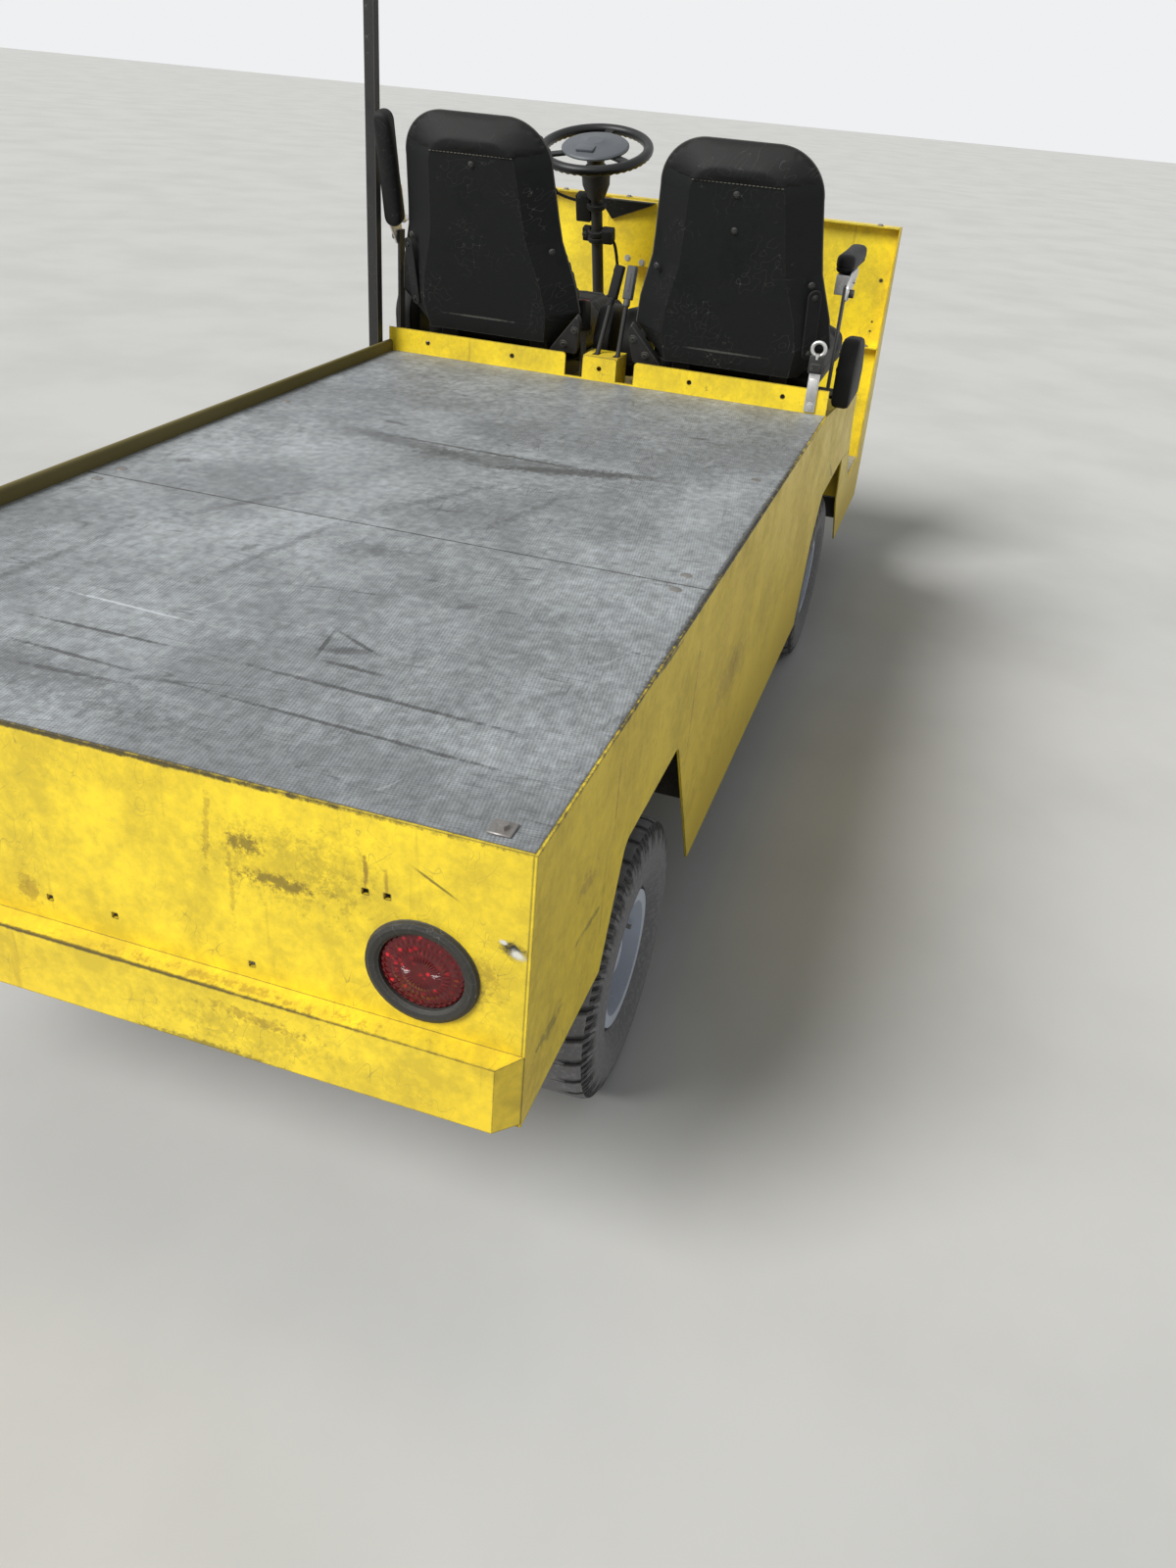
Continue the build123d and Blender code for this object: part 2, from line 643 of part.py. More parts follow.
with BuildPart() as battery_pack:
    beam(
        (BATTERY_REAR_X, -BATTERY_HALF_WIDTH, RAIL_TOP_Z + GAP),
        (BATTERY_REAR_X + BATTERY_LENGTH, BATTERY_HALF_WIDTH, RAIL_TOP_Z + GAP + BATTERY_HEIGHT),
    )
finish(battery_pack.part, "battery_pack")

# Leaf springs: arched leaves of falling length under a master leaf with rolled eyes
LEAF_STEP = 62.0
spring_radius = (SPRING_HALF_LENGTH**2 + SPRING_CAMBER**2) / (2 * SPRING_CAMBER)


def leaf_height(x, index):
    """Height of a leaf's top face at a distance x from the axle; index 0 is the master leaf."""
    top = SPRING_SEAT_Z + (LEAF_COUNT - index) * LEAF
    return top + spring_radius - math.sqrt(spring_radius**2 - x**2)


with BuildPart() as leaf_spring:
    for index in range(LEAF_COUNT):
        half = SPRING_HALF_LENGTH - index * LEAF_STEP
        with BuildSketch(Plane.XZ.offset(-SPRING_WIDTH / 2)):
            with BuildLine():
                end_z, middle_z = leaf_height(half, index), leaf_height(0, index)
                upper = ThreePointArc((-half, end_z), (0, middle_z), (half, end_z))
                lower = ThreePointArc((-half, end_z - LEAF), (0, middle_z - LEAF), (half, end_z - LEAF))
                Line(upper @ 0, lower @ 0)
                Line(upper @ 1, lower @ 1)
            make_face()
        extrude(amount=SPRING_WIDTH)
    with BuildSketch(Plane.XZ.offset(-SPRING_WIDTH / 2)):
        with Locations((-SPRING_HALF_LENGTH, spring_eye_z), (SPRING_HALF_LENGTH, spring_eye_z)):
            Circle(SPRING_EYE_RADIUS)
    extrude(amount=SPRING_WIDTH)

with BuildPart() as leaf_springs:
    with Locations(*[(x, sign * SPRING_Y, 0) for x, sign in SPRINGS]):
        add(leaf_spring.part)
finish(leaf_springs.part, "leaf_springs")

# Rear axle: tube, gear case, drive motor block, brake drums and wheel spindles
HUB_HALF = 55.0
HUB_OUT = 20.0
AXLE_TUBE_RADIUS = 32.0
GEAR_CASE_RADIUS = 92.0
GEAR_CASE_WIDTH = 110.0
MOTOR_RADIUS = 84.0
MOTOR_LENGTH = 270.0
DRUM_RADIUS = 80.0
DRUM_WIDTH = 30.0
DRUM_GAP = 4.0
SPRING_PAD = 70.0
drum_y = REAR_WHEEL_Y - HUB_HALF - DRUM_GAP - DRUM_WIDTH / 2

with BuildPart() as rear_axle:
    with BuildSketch(side_plane(0)):
        with Locations((REAR_AXLE_X, AXLE_Z)):
            Circle(AXLE_TUBE_RADIUS)
    extrude(amount=drum_y - DRUM_WIDTH / 2, both=True)
    with BuildSketch(side_plane(0)):
        with Locations((REAR_AXLE_X, AXLE_Z)):
            Circle(SPINDLE_RADIUS)
    extrude(amount=REAR_WHEEL_Y + HUB_OUT - 4, both=True)
    with Locations((REAR_AXLE_X, 0, AXLE_Z)):
        Cylinder(GEAR_CASE_RADIUS, GEAR_CASE_WIDTH, rotation=(90, 0, 0))
    with BuildSketch(end_plane(REAR_AXLE_X)):
        with Locations((0, AXLE_Z)):
            Circle(MOTOR_RADIUS)
    extrude(amount=MOTOR_LENGTH)
    for _, sign in SIDES:
        with Locations((REAR_AXLE_X, sign * drum_y, AXLE_Z)):
            Cylinder(DRUM_RADIUS, DRUM_WIDTH, rotation=(90, 0, 0))
        with Locations((REAR_AXLE_X, sign * SPRING_Y, (AXLE_Z + SPRING_SEAT_Z - GAP) / 2)):
            Box(SPRING_PAD, SPRING_WIDTH, SPRING_SEAT_Z - GAP - AXLE_Z)
finish(rear_axle.part, "rear_axle")

# Front axle: beam with an eye for each kingpin
KINGPIN_RADIUS = 12.0
EYE_RADIUS = 24.0
EYE_HALF = 41.0
BEAM = 44.0
EAR = 15.0
WEB_IN = 30.0
WEB_OUT = 42.0
STEER_ARM = 112.0
TIE_ROD_RADIUS = 11.0
TIE_ROD_Z = AXLE_Z - EYE_HALF - EAR - 1 - TIE_ROD_RADIUS
TIE_PIN_RADIUS = 7.0

with BuildPart() as front_axle:
    with Locations((FRONT_AXLE_X, 0, AXLE_Z)):
        Box(BEAM, 2 * KINGPIN_Y, BEAM)
    for _, sign in SIDES:
        with Locations((FRONT_AXLE_X, sign * KINGPIN_Y, AXLE_Z)):
            Cylinder(EYE_RADIUS, 2 * EYE_HALF)
            Cylinder(KINGPIN_RADIUS, 2 * (EYE_HALF + EAR))
        with Locations((FRONT_AXLE_X, sign * SPRING_Y, (AXLE_Z + SPRING_SEAT_Z - GAP) / 2)):
            Box(SPRING_PAD, SPRING_WIDTH, SPRING_SEAT_Z - GAP - AXLE_Z)
finish(front_axle.part, "front_axle")

# Steering knuckles: a forked bracket on the kingpin, with the spindle and the steering arm
for side, sign in SIDES:
    with BuildPart() as knuckle:
        for level in (1, -1):
            ear_z = AXLE_Z + level * (EYE_HALF + GAP + (EAR - GAP) / 2)
            with Locations((FRONT_AXLE_X, sign * KINGPIN_Y, ear_z)):
                Cylinder(EYE_RADIUS, EAR - GAP)
            with Locations((FRONT_AXLE_X, sign * (KINGPIN_Y + WEB_OUT / 2), ear_z)):
                Box(2 * EYE_RADIUS, WEB_OUT, EAR - GAP)
        with Locations((FRONT_AXLE_X, sign * (KINGPIN_Y + (WEB_IN + WEB_OUT) / 2), AXLE_Z)):
            Box(2 * EYE_RADIUS, WEB_OUT - WEB_IN, 2 * (EYE_HALF + EAR))
        with BuildSketch(side_plane(sign * (KINGPIN_Y + WEB_IN))):
            with Locations((FRONT_AXLE_X, AXLE_Z)):
                Circle(SPINDLE_RADIUS)
        extrude(amount=-sign * (FRONT_WHEEL_Y + HUB_OUT - 4 - KINGPIN_Y - WEB_IN))
        arm_z = AXLE_Z - EYE_HALF - EAR
        with BuildSketch(Plane.XY.offset(arm_z)):
            with Locations((FRONT_AXLE_X - STEER_ARM / 2, sign * KINGPIN_Y)):
                SlotCenterToCenter(STEER_ARM, 30)
        extrude(amount=EAR - GAP)
        with Locations((FRONT_AXLE_X - STEER_ARM, sign * KINGPIN_Y, arm_z - TIE_ROD_RADIUS)):
            Cylinder(TIE_PIN_RADIUS, 2 * TIE_ROD_RADIUS + 4)
        with Locations((FRONT_AXLE_X, sign * KINGPIN_Y, AXLE_Z)):
            Cylinder(KINGPIN_RADIUS + RUNNING, 4 * EYE_HALF, mode=Mode.SUBTRACT)
    finish(knuckle.part, f"steering_knuckle_{side}")

# Tie rod between the two steering arms, open at its right-hand eye
TIE_EYE_RADIUS = 15.0
with BuildPart() as tie_rod:
    with BuildSketch(side_plane(0)):
        with Locations((FRONT_AXLE_X - STEER_ARM, TIE_ROD_Z)):
            Circle(TIE_ROD_RADIUS)
    extrude(amount=KINGPIN_Y, both=True)
    for _, sign in SIDES:
        with Locations((FRONT_AXLE_X - STEER_ARM, sign * KINGPIN_Y, TIE_ROD_Z)):
            Cylinder(TIE_EYE_RADIUS, 2 * TIE_ROD_RADIUS)
    for sign, clearance in ((1, RUNNING), (-1, 0.5)):
        with Locations((FRONT_AXLE_X - STEER_ARM, sign * KINGPIN_Y, TIE_ROD_Z)):
            Cylinder(TIE_PIN_RADIUS + clearance, 6 * TIE_ROD_RADIUS, mode=Mode.SUBTRACT)
finish(tie_rod.part, "tie_rod")

# Tyre, turned from its section: bead, sidewalls, shoulders and a flat tread
BEAD_HALF = 40.0
SIDEWALL_RADIUS = TYRE_RADIUS - 66.0
TREAD_HALF = 52.0
half_tyre = TYRE_WIDTH / 2
half_rim = RIM_WIDTH / 2
FLANGE_RADIUS = RIM_RADIUS + 11.0

with BuildPart() as tyre:
    with BuildSketch(Plane.XZ):
        with BuildLine():
            Polyline(
                (RIM_RADIUS + GAP, -BEAD_HALF),
                (RIM_RADIUS + GAP, BEAD_HALF),
                (SIDEWALL_RADIUS, half_tyre),
                (TYRE_RADIUS, TREAD_HALF),
                (TYRE_RADIUS, -TREAD_HALF),
                (SIDEWALL_RADIUS, -half_tyre),
                close=True,
            )
        make_face()
    revolve(axis=Axis.Z)

# Rim: flanged barrel, recessed disc, hub and cap
DISC_OUT = 14.0
DISC = 7.0
BARREL = 8.0
FLANGE = 4.0
HUB_RADIUS = 40.0
CAP_RADIUS = 30.0
CAP_OUT = HUB_OUT + 20.0
with BuildPart() as rim:
    with BuildSketch(Plane.XZ):
        with BuildLine():
            Polyline(
                (SPINDLE_RADIUS + RUNNING, -HUB_HALF),
                (HUB_RADIUS, -HUB_HALF),
                (HUB_RADIUS, DISC_OUT - DISC),
                (RIM_RADIUS - BARREL, DISC_OUT - DISC),
                (RIM_RADIUS - BARREL, -half_rim - FLANGE),
                (FLANGE_RADIUS, -half_rim - FLANGE),
                (FLANGE_RADIUS, -half_rim),
                (RIM_RADIUS, -half_rim),
                (RIM_RADIUS, half_rim),
                (FLANGE_RADIUS, half_rim),
                (FLANGE_RADIUS, half_rim + FLANGE),
                (RIM_RADIUS - BARREL, half_rim + FLANGE),
                (RIM_RADIUS - BARREL, DISC_OUT),
                (HUB_RADIUS + 4, DISC_OUT),
                (HUB_RADIUS - 4, HUB_OUT),
                (CAP_RADIUS, CAP_OUT - 2),
                (0, CAP_OUT),
                (0, HUB_OUT),
                (SPINDLE_RADIUS + RUNNING, HUB_OUT),
                close=True,
            )
        make_face()
    revolve(axis=Axis.Z)

WHEELS = (("rear", REAR_AXLE_X, REAR_WHEEL_Y), ("front", FRONT_AXLE_X, FRONT_WHEEL_Y))
for end, axle_x, wheel_y in WHEELS:
    for side, sign in SIDES:
        centre = Plane(origin=(axle_x, sign * wheel_y, AXLE_Z), x_dir=(1, 0, 0), z_dir=(0, sign, 0))
        for kind, solid in (("tyre", tyre), ("rim", rim)):
            with BuildPart() as wheel_piece:
                with Locations(centre):
                    add(solid.part)
            finish(wheel_piece.part, f"{kind}_{end}_{side}")

# Steering column and wheel, on one tilted axis
STEER_X = COWL_X - 355.0
STEER_ASIDE = 24.0
STEER_Y = BODY_HALF / 2 + STEER_ASIDE
STEER_Z = DECK_Z + 446.0
COLUMN_TILT = 18.0
COLUMN_RADIUS = 17.0
SHAFT_RADIUS = 9.0
WHEEL_RADIUS = 152.0
GRIP_RADIUS = 14.5
SPOKE_WIDTH = 26.0
SPOKE_COUNT = 3
PAD_RADIUS = 97.0
PAD_CROWN = 22.0
SHAFT_END = -6.0
SHROUD = (  # radius, height along the column below the wheel
    (32.0, -46.0),
    (42.0, -62.0),
    (40.0, -96.0),
    (26.0, -132.0),
)
BASE_PLATE = (110.0, 90.0, 10.0)
column_plane = Plane(
    origin=(STEER_X, STEER_Y, STEER_Z),
    x_dir=(math.cos(math.radians(COLUMN_TILT)), 0, math.sin(math.radians(COLUMN_TILT))),
    z_dir=(-math.sin(math.radians(COLUMN_TILT)), 0, math.cos(math.radians(COLUMN_TILT))),
)
column_length = (STEER_Z - FLOOR_Z) / math.cos(math.radians(COLUMN_TILT))
column_foot_x = STEER_X + (STEER_Z - FLOOR_Z) * math.tan(math.radians(COLUMN_TILT))

with BuildPart() as column_blank:
    with BuildSketch(Plane.XZ):
        with BuildLine():
            Polyline(
                (0, SHAFT_END),
                (SHAFT_RADIUS, SHAFT_END),
                (SHAFT_RADIUS, SHROUD[0][1]),
                *SHROUD,
                (COLUMN_RADIUS, SHROUD[-1][1] - 6),
                (COLUMN_RADIUS, -2 * column_length),
                (0, -2 * column_length),
                close=True,
            )
        make_face()
    revolve(axis=Axis.Z)

with BuildPart() as steering_column:
    with Locations(column_plane):
        add(column_blank.part)
    split(bisect_by=Plane.XY.offset(FLOOR_Z), keep=Keep.TOP)
    with Locations((column_foot_x, STEER_Y, FLOOR_Z + BASE_PLATE[2] / 2)):
        Box(*BASE_PLATE)
finish(steering_column.part, "steering_column")

with BuildPart() as wheel_blank:
    Torus(WHEEL_RADIUS, GRIP_RADIUS)
    with PolarLocations(WHEEL_RADIUS / 2, SPOKE_COUNT):
        Box(WHEEL_RADIUS, SPOKE_WIDTH, 9)
    with Locations((0, 0, -18)):
        Cylinder(26, 44)
    with BuildSketch(Plane.XZ):
        with BuildLine():
            Line((0, 4), (PAD_RADIUS, 4))
            Line((PAD_RADIUS, 4), (PAD_RADIUS, 10))
            dome(PAD_RADIUS, 10, PAD_CROWN)
            Line((0, PAD_CROWN), (0, 4))
        make_face()
    revolve(axis=Axis.Z)
    with Locations((0, 0, -25)):
        Cylinder(SHAFT_RADIUS + RUNNING, 41, mode=Mode.SUBTRACT)

with BuildPart() as steering_wheel:
    with Locations(column_plane):
        add(wheel_blank.part)
finish(steering_wheel.part, "steering_wheel")

# Pedals: a brake and an accelerator plate, each on a stem from the floor
PEDAL_X = COWL_X - 150.0
PEDAL_RISE = 92.0
PEDAL_LEAN = 38.0
PEDAL_PLATE = (10.0, 90.0)
PEDALS = (  # y, width
    (STEER_Y + 85.0, 74.0),
    (STEER_Y - 95.0, 56.0),
)
with BuildPart() as pedals:
    for y, width in PEDALS:
        with Locations(Location((PEDAL_X, y, FLOOR_Z + PEDAL_RISE), (0, -PEDAL_LEAN, 0))):
            Box(PEDAL_PLATE[0], width, PEDAL_PLATE[1])
        with Locations((PEDAL_X + 6, y, FLOOR_Z + PEDAL_RISE / 2)):
            Box(14, 22, PEDAL_RISE)
        with Locations((PEDAL_X + 6, y, FLOOR_Z + 3)):
            Box(60, 50, 6)
finish(pedals.part, "pedals")

# Hand levers through the lever box, leaning forward and a little to the right, with bladed grips
LEVER_RADIUS = 6.0
LEVER_LEAN = 15.0
LEVER_RISE = 236.0
GRIP = (16.0, 26.0, 76.0)
GRIP_OVERLAP = 10.0
lever_slope = math.tan(math.radians(LEVER_LEAN))
lever_root_x = LEVER_SLOT_X - lever_drop * lever_slope

with BuildPart() as hand_levers:
    for y, lean in LEVERS:
        foot = (lever_root_x, y, SEAT_DECK_Z + LEVER_FOOT[2] / 2)
        rise = (lever_slope, -math.tan(math.radians(lean)), 1)
        with Locations(Plane(origin=foot, x_dir=(1, 0, -lever_slope), z_dir=rise)):
            Cylinder(LEVER_RADIUS, LEVER_RISE, align=(Align.CENTER, Align.CENTER, Align.MIN))
            with Locations((0, 0, LEVER_RISE - GRIP_OVERLAP)):
                Box(*GRIP, align=(Align.CENTER, Align.CENTER, Align.MIN))
        with Locations(foot):
            Box(*LEVER_FOOT)
finish(hand_levers.part, "hand_levers")

# Chrome belt latch bolted to the strip's right-hand end
LATCH_Y = 44.0 - BODY_HALF
LATCH_STRAP = (4.0, 26.0, 104.0)
LATCH_BUCKLE = (14.0, 34.0, 40.0)
LATCH_RING = (15.0, 4.5)
strap_z = DECK_Z + 3.0
buckle_z = strap_z + LATCH_STRAP[2] - 15.0
ring_z = buckle_z + LATCH_BUCKLE[2] + LATCH_RING[0] - 1.0
buckle_x = STRIP_X - GAP - LATCH_BUCKLE[0] / 2

with BuildPart() as belt_latch:
    with Locations((STRIP_X - GAP - LATCH_STRAP[0] / 2, LATCH_Y, strap_z + LATCH_STRAP[2] / 2)):
        Box(*LATCH_STRAP)
    with Locations((buckle_x, LATCH_Y, buckle_z + LATCH_BUCKLE[2] / 2)):
        Box(*LATCH_BUCKLE)
    with Locations((buckle_x, LATCH_Y, ring_z)):
        Torus(*LATCH_RING, rotation=(0, 90, 0))
finish(belt_latch.part, "belt_latch")

# Beacon mast bolted to the left side panel, with the beacon on a plate at its top
MAST = 25.0
MAST_WALL = 2.5
MAST_X = STRIP_X - 53.0 + MAST / 2
MAST_Y = BODY_HALF + GAP + MAST / 2
MAST_BOTTOM_Z = DECK_Z - 250.0
MAST_TOP_Z = DECK_Z + 1080.0
BEACON_Y = MAST_Y - 32.0
BEACON_PLATE = (90.0, 96.0, 4.0)
BEACON_FOOT = 52.0
BEACON_RADIUS = 46.0
BEACON_HEIGHT = 116.0

with BuildPart() as beacon_mast:
    with BuildSketch(Plane.XY.offset(MAST_BOTTOM_Z)):
        with Locations((MAST_X, MAST_Y)):
            Rectangle(MAST, MAST)
            Rectangle(MAST - 2 * MAST_WALL, MAST - 2 * MAST_WALL, mode=Mode.SUBTRACT)
    extrude(amount=MAST_TOP_Z - MAST_BOTTOM_Z)
    with Locations((MAST_X, BEACON_Y, MAST_TOP_Z + BEACON_PLATE[2] / 2)):
        Box(*BEACON_PLATE)
finish(beacon_mast.part, "beacon_mast")

with BuildPart() as beacon:
    with BuildSketch(Plane.XZ):
        with BuildLine():
            Polyline(
                (0, 0),
                (BEACON_FOOT, 0),
                (BEACON_FOOT, 12),
                (BEACON_RADIUS, 26),
                (BEACON_RADIUS, BEACON_HEIGHT - 42),
            )
            dome(BEACON_RADIUS, BEACON_HEIGHT - 42, BEACON_HEIGHT)
            Line((0, BEACON_HEIGHT), (0, 0))
        make_face()
    revolve(axis=Axis.Z)

with BuildPart() as placed_beacon:
    with Locations((MAST_X, BEACON_Y, MAST_TOP_Z + BEACON_PLATE[2])):
        add(beacon.part)
finish(placed_beacon.part, "beacon")

# Seats, one a side; each has an armrest and an upright on its outer side
SEAT_ASIDE = 23.0
SEAT_Y = BODY_HALF / 2 + SEAT_ASIDE
BACK_FOOT = (STRIP_X + 27.0, DECK_Z + 50.0)
BACK_HEAD = (STRIP_X - 128.5, DECK_Z + 536.0)
BACK_HEIGHT = math.dist(BACK_FOOT, BACK_HEAD)
SHOULDER_DROP = 104.0
SHELL_DEPTH = 44.0
SHELL_TAPER = 75.0
SHELL_TOP_TAPER = 40.0
PAD_DEPTH = 58.0
CUSHION_REAR_X = STRIP_X + 104.0
CUSHION_LENGTH = 448.0
ARM_INSET = 12.0
ARM_Y = BODY_HALF - ARM_INSET - SEAT_Y
ARM_CLEARANCE = 20.0
CUSHION_HALF = ARM_Y - ARM_CLEARANCE
BACK_HALF = CUSHION_HALF + 8.0
PAN_Z = DECK_Z + 4.0
PAN = 8.0
PAN_HALF = CUSHION_HALF - 36.0
RUNNER_WIDTH = 36.0
CUSHION_HEIGHT = 92.0
CUSHION_FILLET = 24.0
WING_INNER = CUSHION_HALF + 22.0
WING_WIDTH = 44.0
WING_FOOT_Z = DECK_Z - 7.0
WING_STRAP = 6.0
WING_FILLET = 18.0
WING_OUTLINE = (  # forward of the cushion's rear, above the wing's foot
    (10.0, 0.0),
    (200.0, 0.0),
    (214.0, 70.0),
    (150.0, 148.0),
    (40.0, 158.0),
    (2.0, 90.0),
)
ARM_PIVOT = (STRIP_X + 50.0, DECK_Z + 262.0)
ARM_PIN_RADIUS = 9.0
ARM_PIN_LENGTH = 18.0
ARM_PLATE = 6.0
ARM_PAD_Y = ARM_Y - 18.0
ARM_PAD = (256.0, 46.0, 44.0)
ARM_PAD_FILLET = 20.0
ARM_RAISED = 105.0
ARM_OUTLINE = (  # forward of the pivot, above it
    (-16.0, -16.0),
    (20.0, -16.0),
    (130.0, 22.0),
    (130.0, 40.0),
    (40.0, 40.0),
    (-16.0, 16.0),
)
PAD_FOOT = 52.0
PAD_DROP = 22.0
PAD_FILLET = 14.0
BRACKET_WIDTH = 40.0
BRACKET_RISE = 46.0
BRACKET = 8.0
back_up = ((BACK_HEAD[0] - BACK_FOOT[0]) / BACK_HEIGHT, (BACK_HEAD[1] - BACK_FOOT[1]) / BACK_HEIGHT)


def back_point(forward, rise):
    """Side-view point forward of the seat back's rear face and a given rise up its slope."""
    return (
        BACK_FOOT[0] + forward * back_up[1] + rise * back_up[0],
        BACK_FOOT[1] - forward * back_up[0] + rise * back_up[1],
    )


def back_plane(y, forward):
    """Plane parallel to the seat back's rear face, forward of it, looking rearwards."""
    x, z = back_point(forward, 0)
    return Plane(origin=(x, y, z), x_dir=(0, -1, 0), z_dir=(-back_up[1], 0, back_up[0]))


BACK_FLANK = (  # narrower than the hips by, rise up the back
    (0.0, 84.0),
    (10.0, 150.0),
    (38.0, 250.0),
    (44.0, 300.0),
    (54.0, BACK_HEIGHT - SHOULDER_DROP),
)
head_half = BACK_HALF - BACK_FLANK[-1][0]


def back_outline(inset, drop, foot, foot_half):
    """Seat back outline, widest at the hips, with a round head, narrower by inset and lower by drop."""
    shoulder_z, corner = BACK_HEIGHT - SHOULDER_DROP, SHOULDER_DROP - drop
    corner_y = head_half - inset - corner
    with BuildLine() as line:
        Polyline(
            (0, foot),
            (foot_half, foot),
            *[(BACK_HALF - narrower - inset, rise) for narrower, rise in BACK_FLANK],
        )
        ThreePointArc(
            (corner_y + corner, shoulder_z),
            (corner_y + corner / math.sqrt(2), shoulder_z + corner / math.sqrt(2)),
            (corner_y, shoulder_z + corner),
        )
        Line((corner_y, shoulder_z + corner), (0, shoulder_z + corner))
        mirror(about=Plane.YZ)
    return line.line


for side, sign in SIDES:
    seat_y = sign * SEAT_Y

    with BuildPart() as back_shell:
        with BuildSketch(back_plane(seat_y, 0)):
            add(back_outline(SHELL_TAPER, SHELL_TOP_TAPER, 18, BACK_HALF - SHELL_TAPER - 9))
            make_face()
        with BuildSketch(back_plane(seat_y, SHELL_DEPTH)):
            add(back_outline(0, 0, 0, BACK_HALF - 68))
            make_face()
        loft(ruled=True)
    finish(back_shell.part, f"seat_back_shell_{side}")

    with BuildPart() as back_pad:
        with BuildSketch(back_plane(seat_y, SHELL_DEPTH + GAP)):
            add(back_outline(4, PAD_DROP, PAD_FOOT, BACK_HALF - 30))
            make_face()
        extrude(amount=-PAD_DEPTH)
        fillet(back_pad.faces().sort_by(Axis.X)[-1].edges(), PAD_FILLET)
    finish(back_pad.part, f"seat_back_pad_{side}")

    with BuildPart() as cushion:
        with BuildSketch(Plane.XY.offset(PAN_Z + PAN + GAP)):
            with Locations((CUSHION_REAR_X + CUSHION_LENGTH / 2, seat_y)):
                RectangleRounded(CUSHION_LENGTH, 2 * CUSHION_HALF, 40)
        extrude(amount=CUSHION_HEIGHT)
        fillet(cushion.faces().sort_by(Axis.Z)[-1].edges(), CUSHION_FILLET)
    finish(cushion.part, f"seat_cushion_{side}")

    with BuildPart() as seat_frame:
        beam(
            (CUSHION_REAR_X - 30, seat_y - PAN_HALF, PAN_Z),
            (CUSHION_REAR_X + CUSHION_LENGTH - 20, seat_y + PAN_HALF, PAN_Z + PAN),
        )
        for rail_y in (seat_y - PAN_HALF + 40, seat_y + PAN_HALF - 40):
            low_y, high_y = rail_y - RUNNER_WIDTH / 2, rail_y + RUNNER_WIDTH / 2
            beam((CUSHION_REAR_X, low_y, SEAT_DECK_Z), (SEAT_DECK_FOLD_X - 10, high_y, PAN_Z))
        for bracket_y in (seat_y - PAN_HALF + 70, seat_y + PAN_HALF - 70):
            with BuildSketch(side_plane(bracket_y - BRACKET_WIDTH / 2)):
                with BuildLine():
                    Polyline(
                        back_point(SHELL_DEPTH + GAP, BRACKET_RISE),
                        back_point(SHELL_DEPTH + GAP, 0),
                        (back_point(SHELL_DEPTH + GAP, 0)[0], PAN_Z),
                        (CUSHION_REAR_X - 6, PAN_Z),
                        back_point(SHELL_DEPTH + GAP + BRACKET, 4),
                        back_point(SHELL_DEPTH + GAP + BRACKET, BRACKET_RISE),
                        close=True,
                    )
                make_face()
            extrude(amount=-BRACKET_WIDTH)
        low_y, high_y = across(sign, SEAT_Y + ARM_Y - ARM_PLATE, SEAT_Y + ARM_Y)
        beam((ARM_PIVOT[0] - 14, low_y, PAN_Z), (ARM_PIVOT[0] + 14, high_y, ARM_PIVOT[1] + 14))
        low_y, high_y = across(sign, SEAT_Y + PAN_HALF - 10, SEAT_Y + ARM_Y)
        beam((ARM_PIVOT[0] - 14, low_y, PAN_Z), (CUSHION_REAR_X - 20, high_y, PAN_Z + PAN))
        with BuildSketch(side_plane(seat_y + sign * ARM_Y)):
            with Locations(ARM_PIVOT):
                Circle(ARM_PIN_RADIUS)
        extrude(amount=-sign * ARM_PIN_LENGTH)
    finish(seat_frame.part, f"seat_frame_{side}")

    with BuildPart() as hip_restraints:
        strap_rear_x, strap_front_x = CUSHION_REAR_X + 60, CUSHION_REAR_X + 140
        for wing_sign in (1, -1):
            with BuildSketch(side_plane(seat_y + wing_sign * WING_INNER)):
                with BuildLine():
                    Polyline(*[(CUSHION_REAR_X + x, WING_FOOT_Z + z) for x, z in WING_OUTLINE], close=True)
                make_face()
                fillet(vertices(), WING_FILLET)
            extrude(amount=-wing_sign * WING_WIDTH)
            low_y, high_y = across(wing_sign, PAN_HALF, WING_INNER + WING_STRAP)
            beam((strap_rear_x, seat_y + low_y, PAN_Z), (strap_front_x, seat_y + high_y, PAN_Z + PAN))
    finish(hip_restraints.part, f"hip_restraints_{side}")

    with BuildPart() as armrest:
        plate_plane = side_plane(seat_y + sign * (ARM_Y + GAP))
        with BuildSketch(plate_plane):
            with BuildLine():
                Polyline(*[(ARM_PIVOT[0] + x, ARM_PIVOT[1] + z) for x, z in ARM_OUTLINE], close=True)
            make_face()
        extrude(amount=-sign * ARM_PLATE)
        pad_y = seat_y + sign * ARM_PAD_Y
        with Locations((ARM_PIVOT[0] + 44 + ARM_PAD[0] / 2, pad_y, ARM_PIVOT[1] + 30 + ARM_PAD[2] / 2)):
            Box(*ARM_PAD)
        fillet(
            armrest.edges().filter_by(Axis.Z).filter_by(lambda e: abs(e.length - ARM_PAD[2]) < 1),
            ARM_PAD_FILLET,
        )
        with BuildSketch(plate_plane):
            with Locations(ARM_PIVOT):
                Circle(ARM_PIN_RADIUS + RUNNING)
        extrude(amount=ARM_PAD[1], both=True, mode=Mode.SUBTRACT)
    pivot = Axis((ARM_PIVOT[0], seat_y, ARM_PIVOT[1]), (0, -1, 0))
    stored = armrest.part.rotate(pivot, ARM_RAISED) if side == "left" else armrest.part
    finish(stored, f"armrest_{side}")
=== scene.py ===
"""Looks of the electric burden carrier: finishes, soft seats, tyres, fittings, studio and camera.

Metres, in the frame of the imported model: +X is forward, +Y is the driver's left and +Z is up.
"""

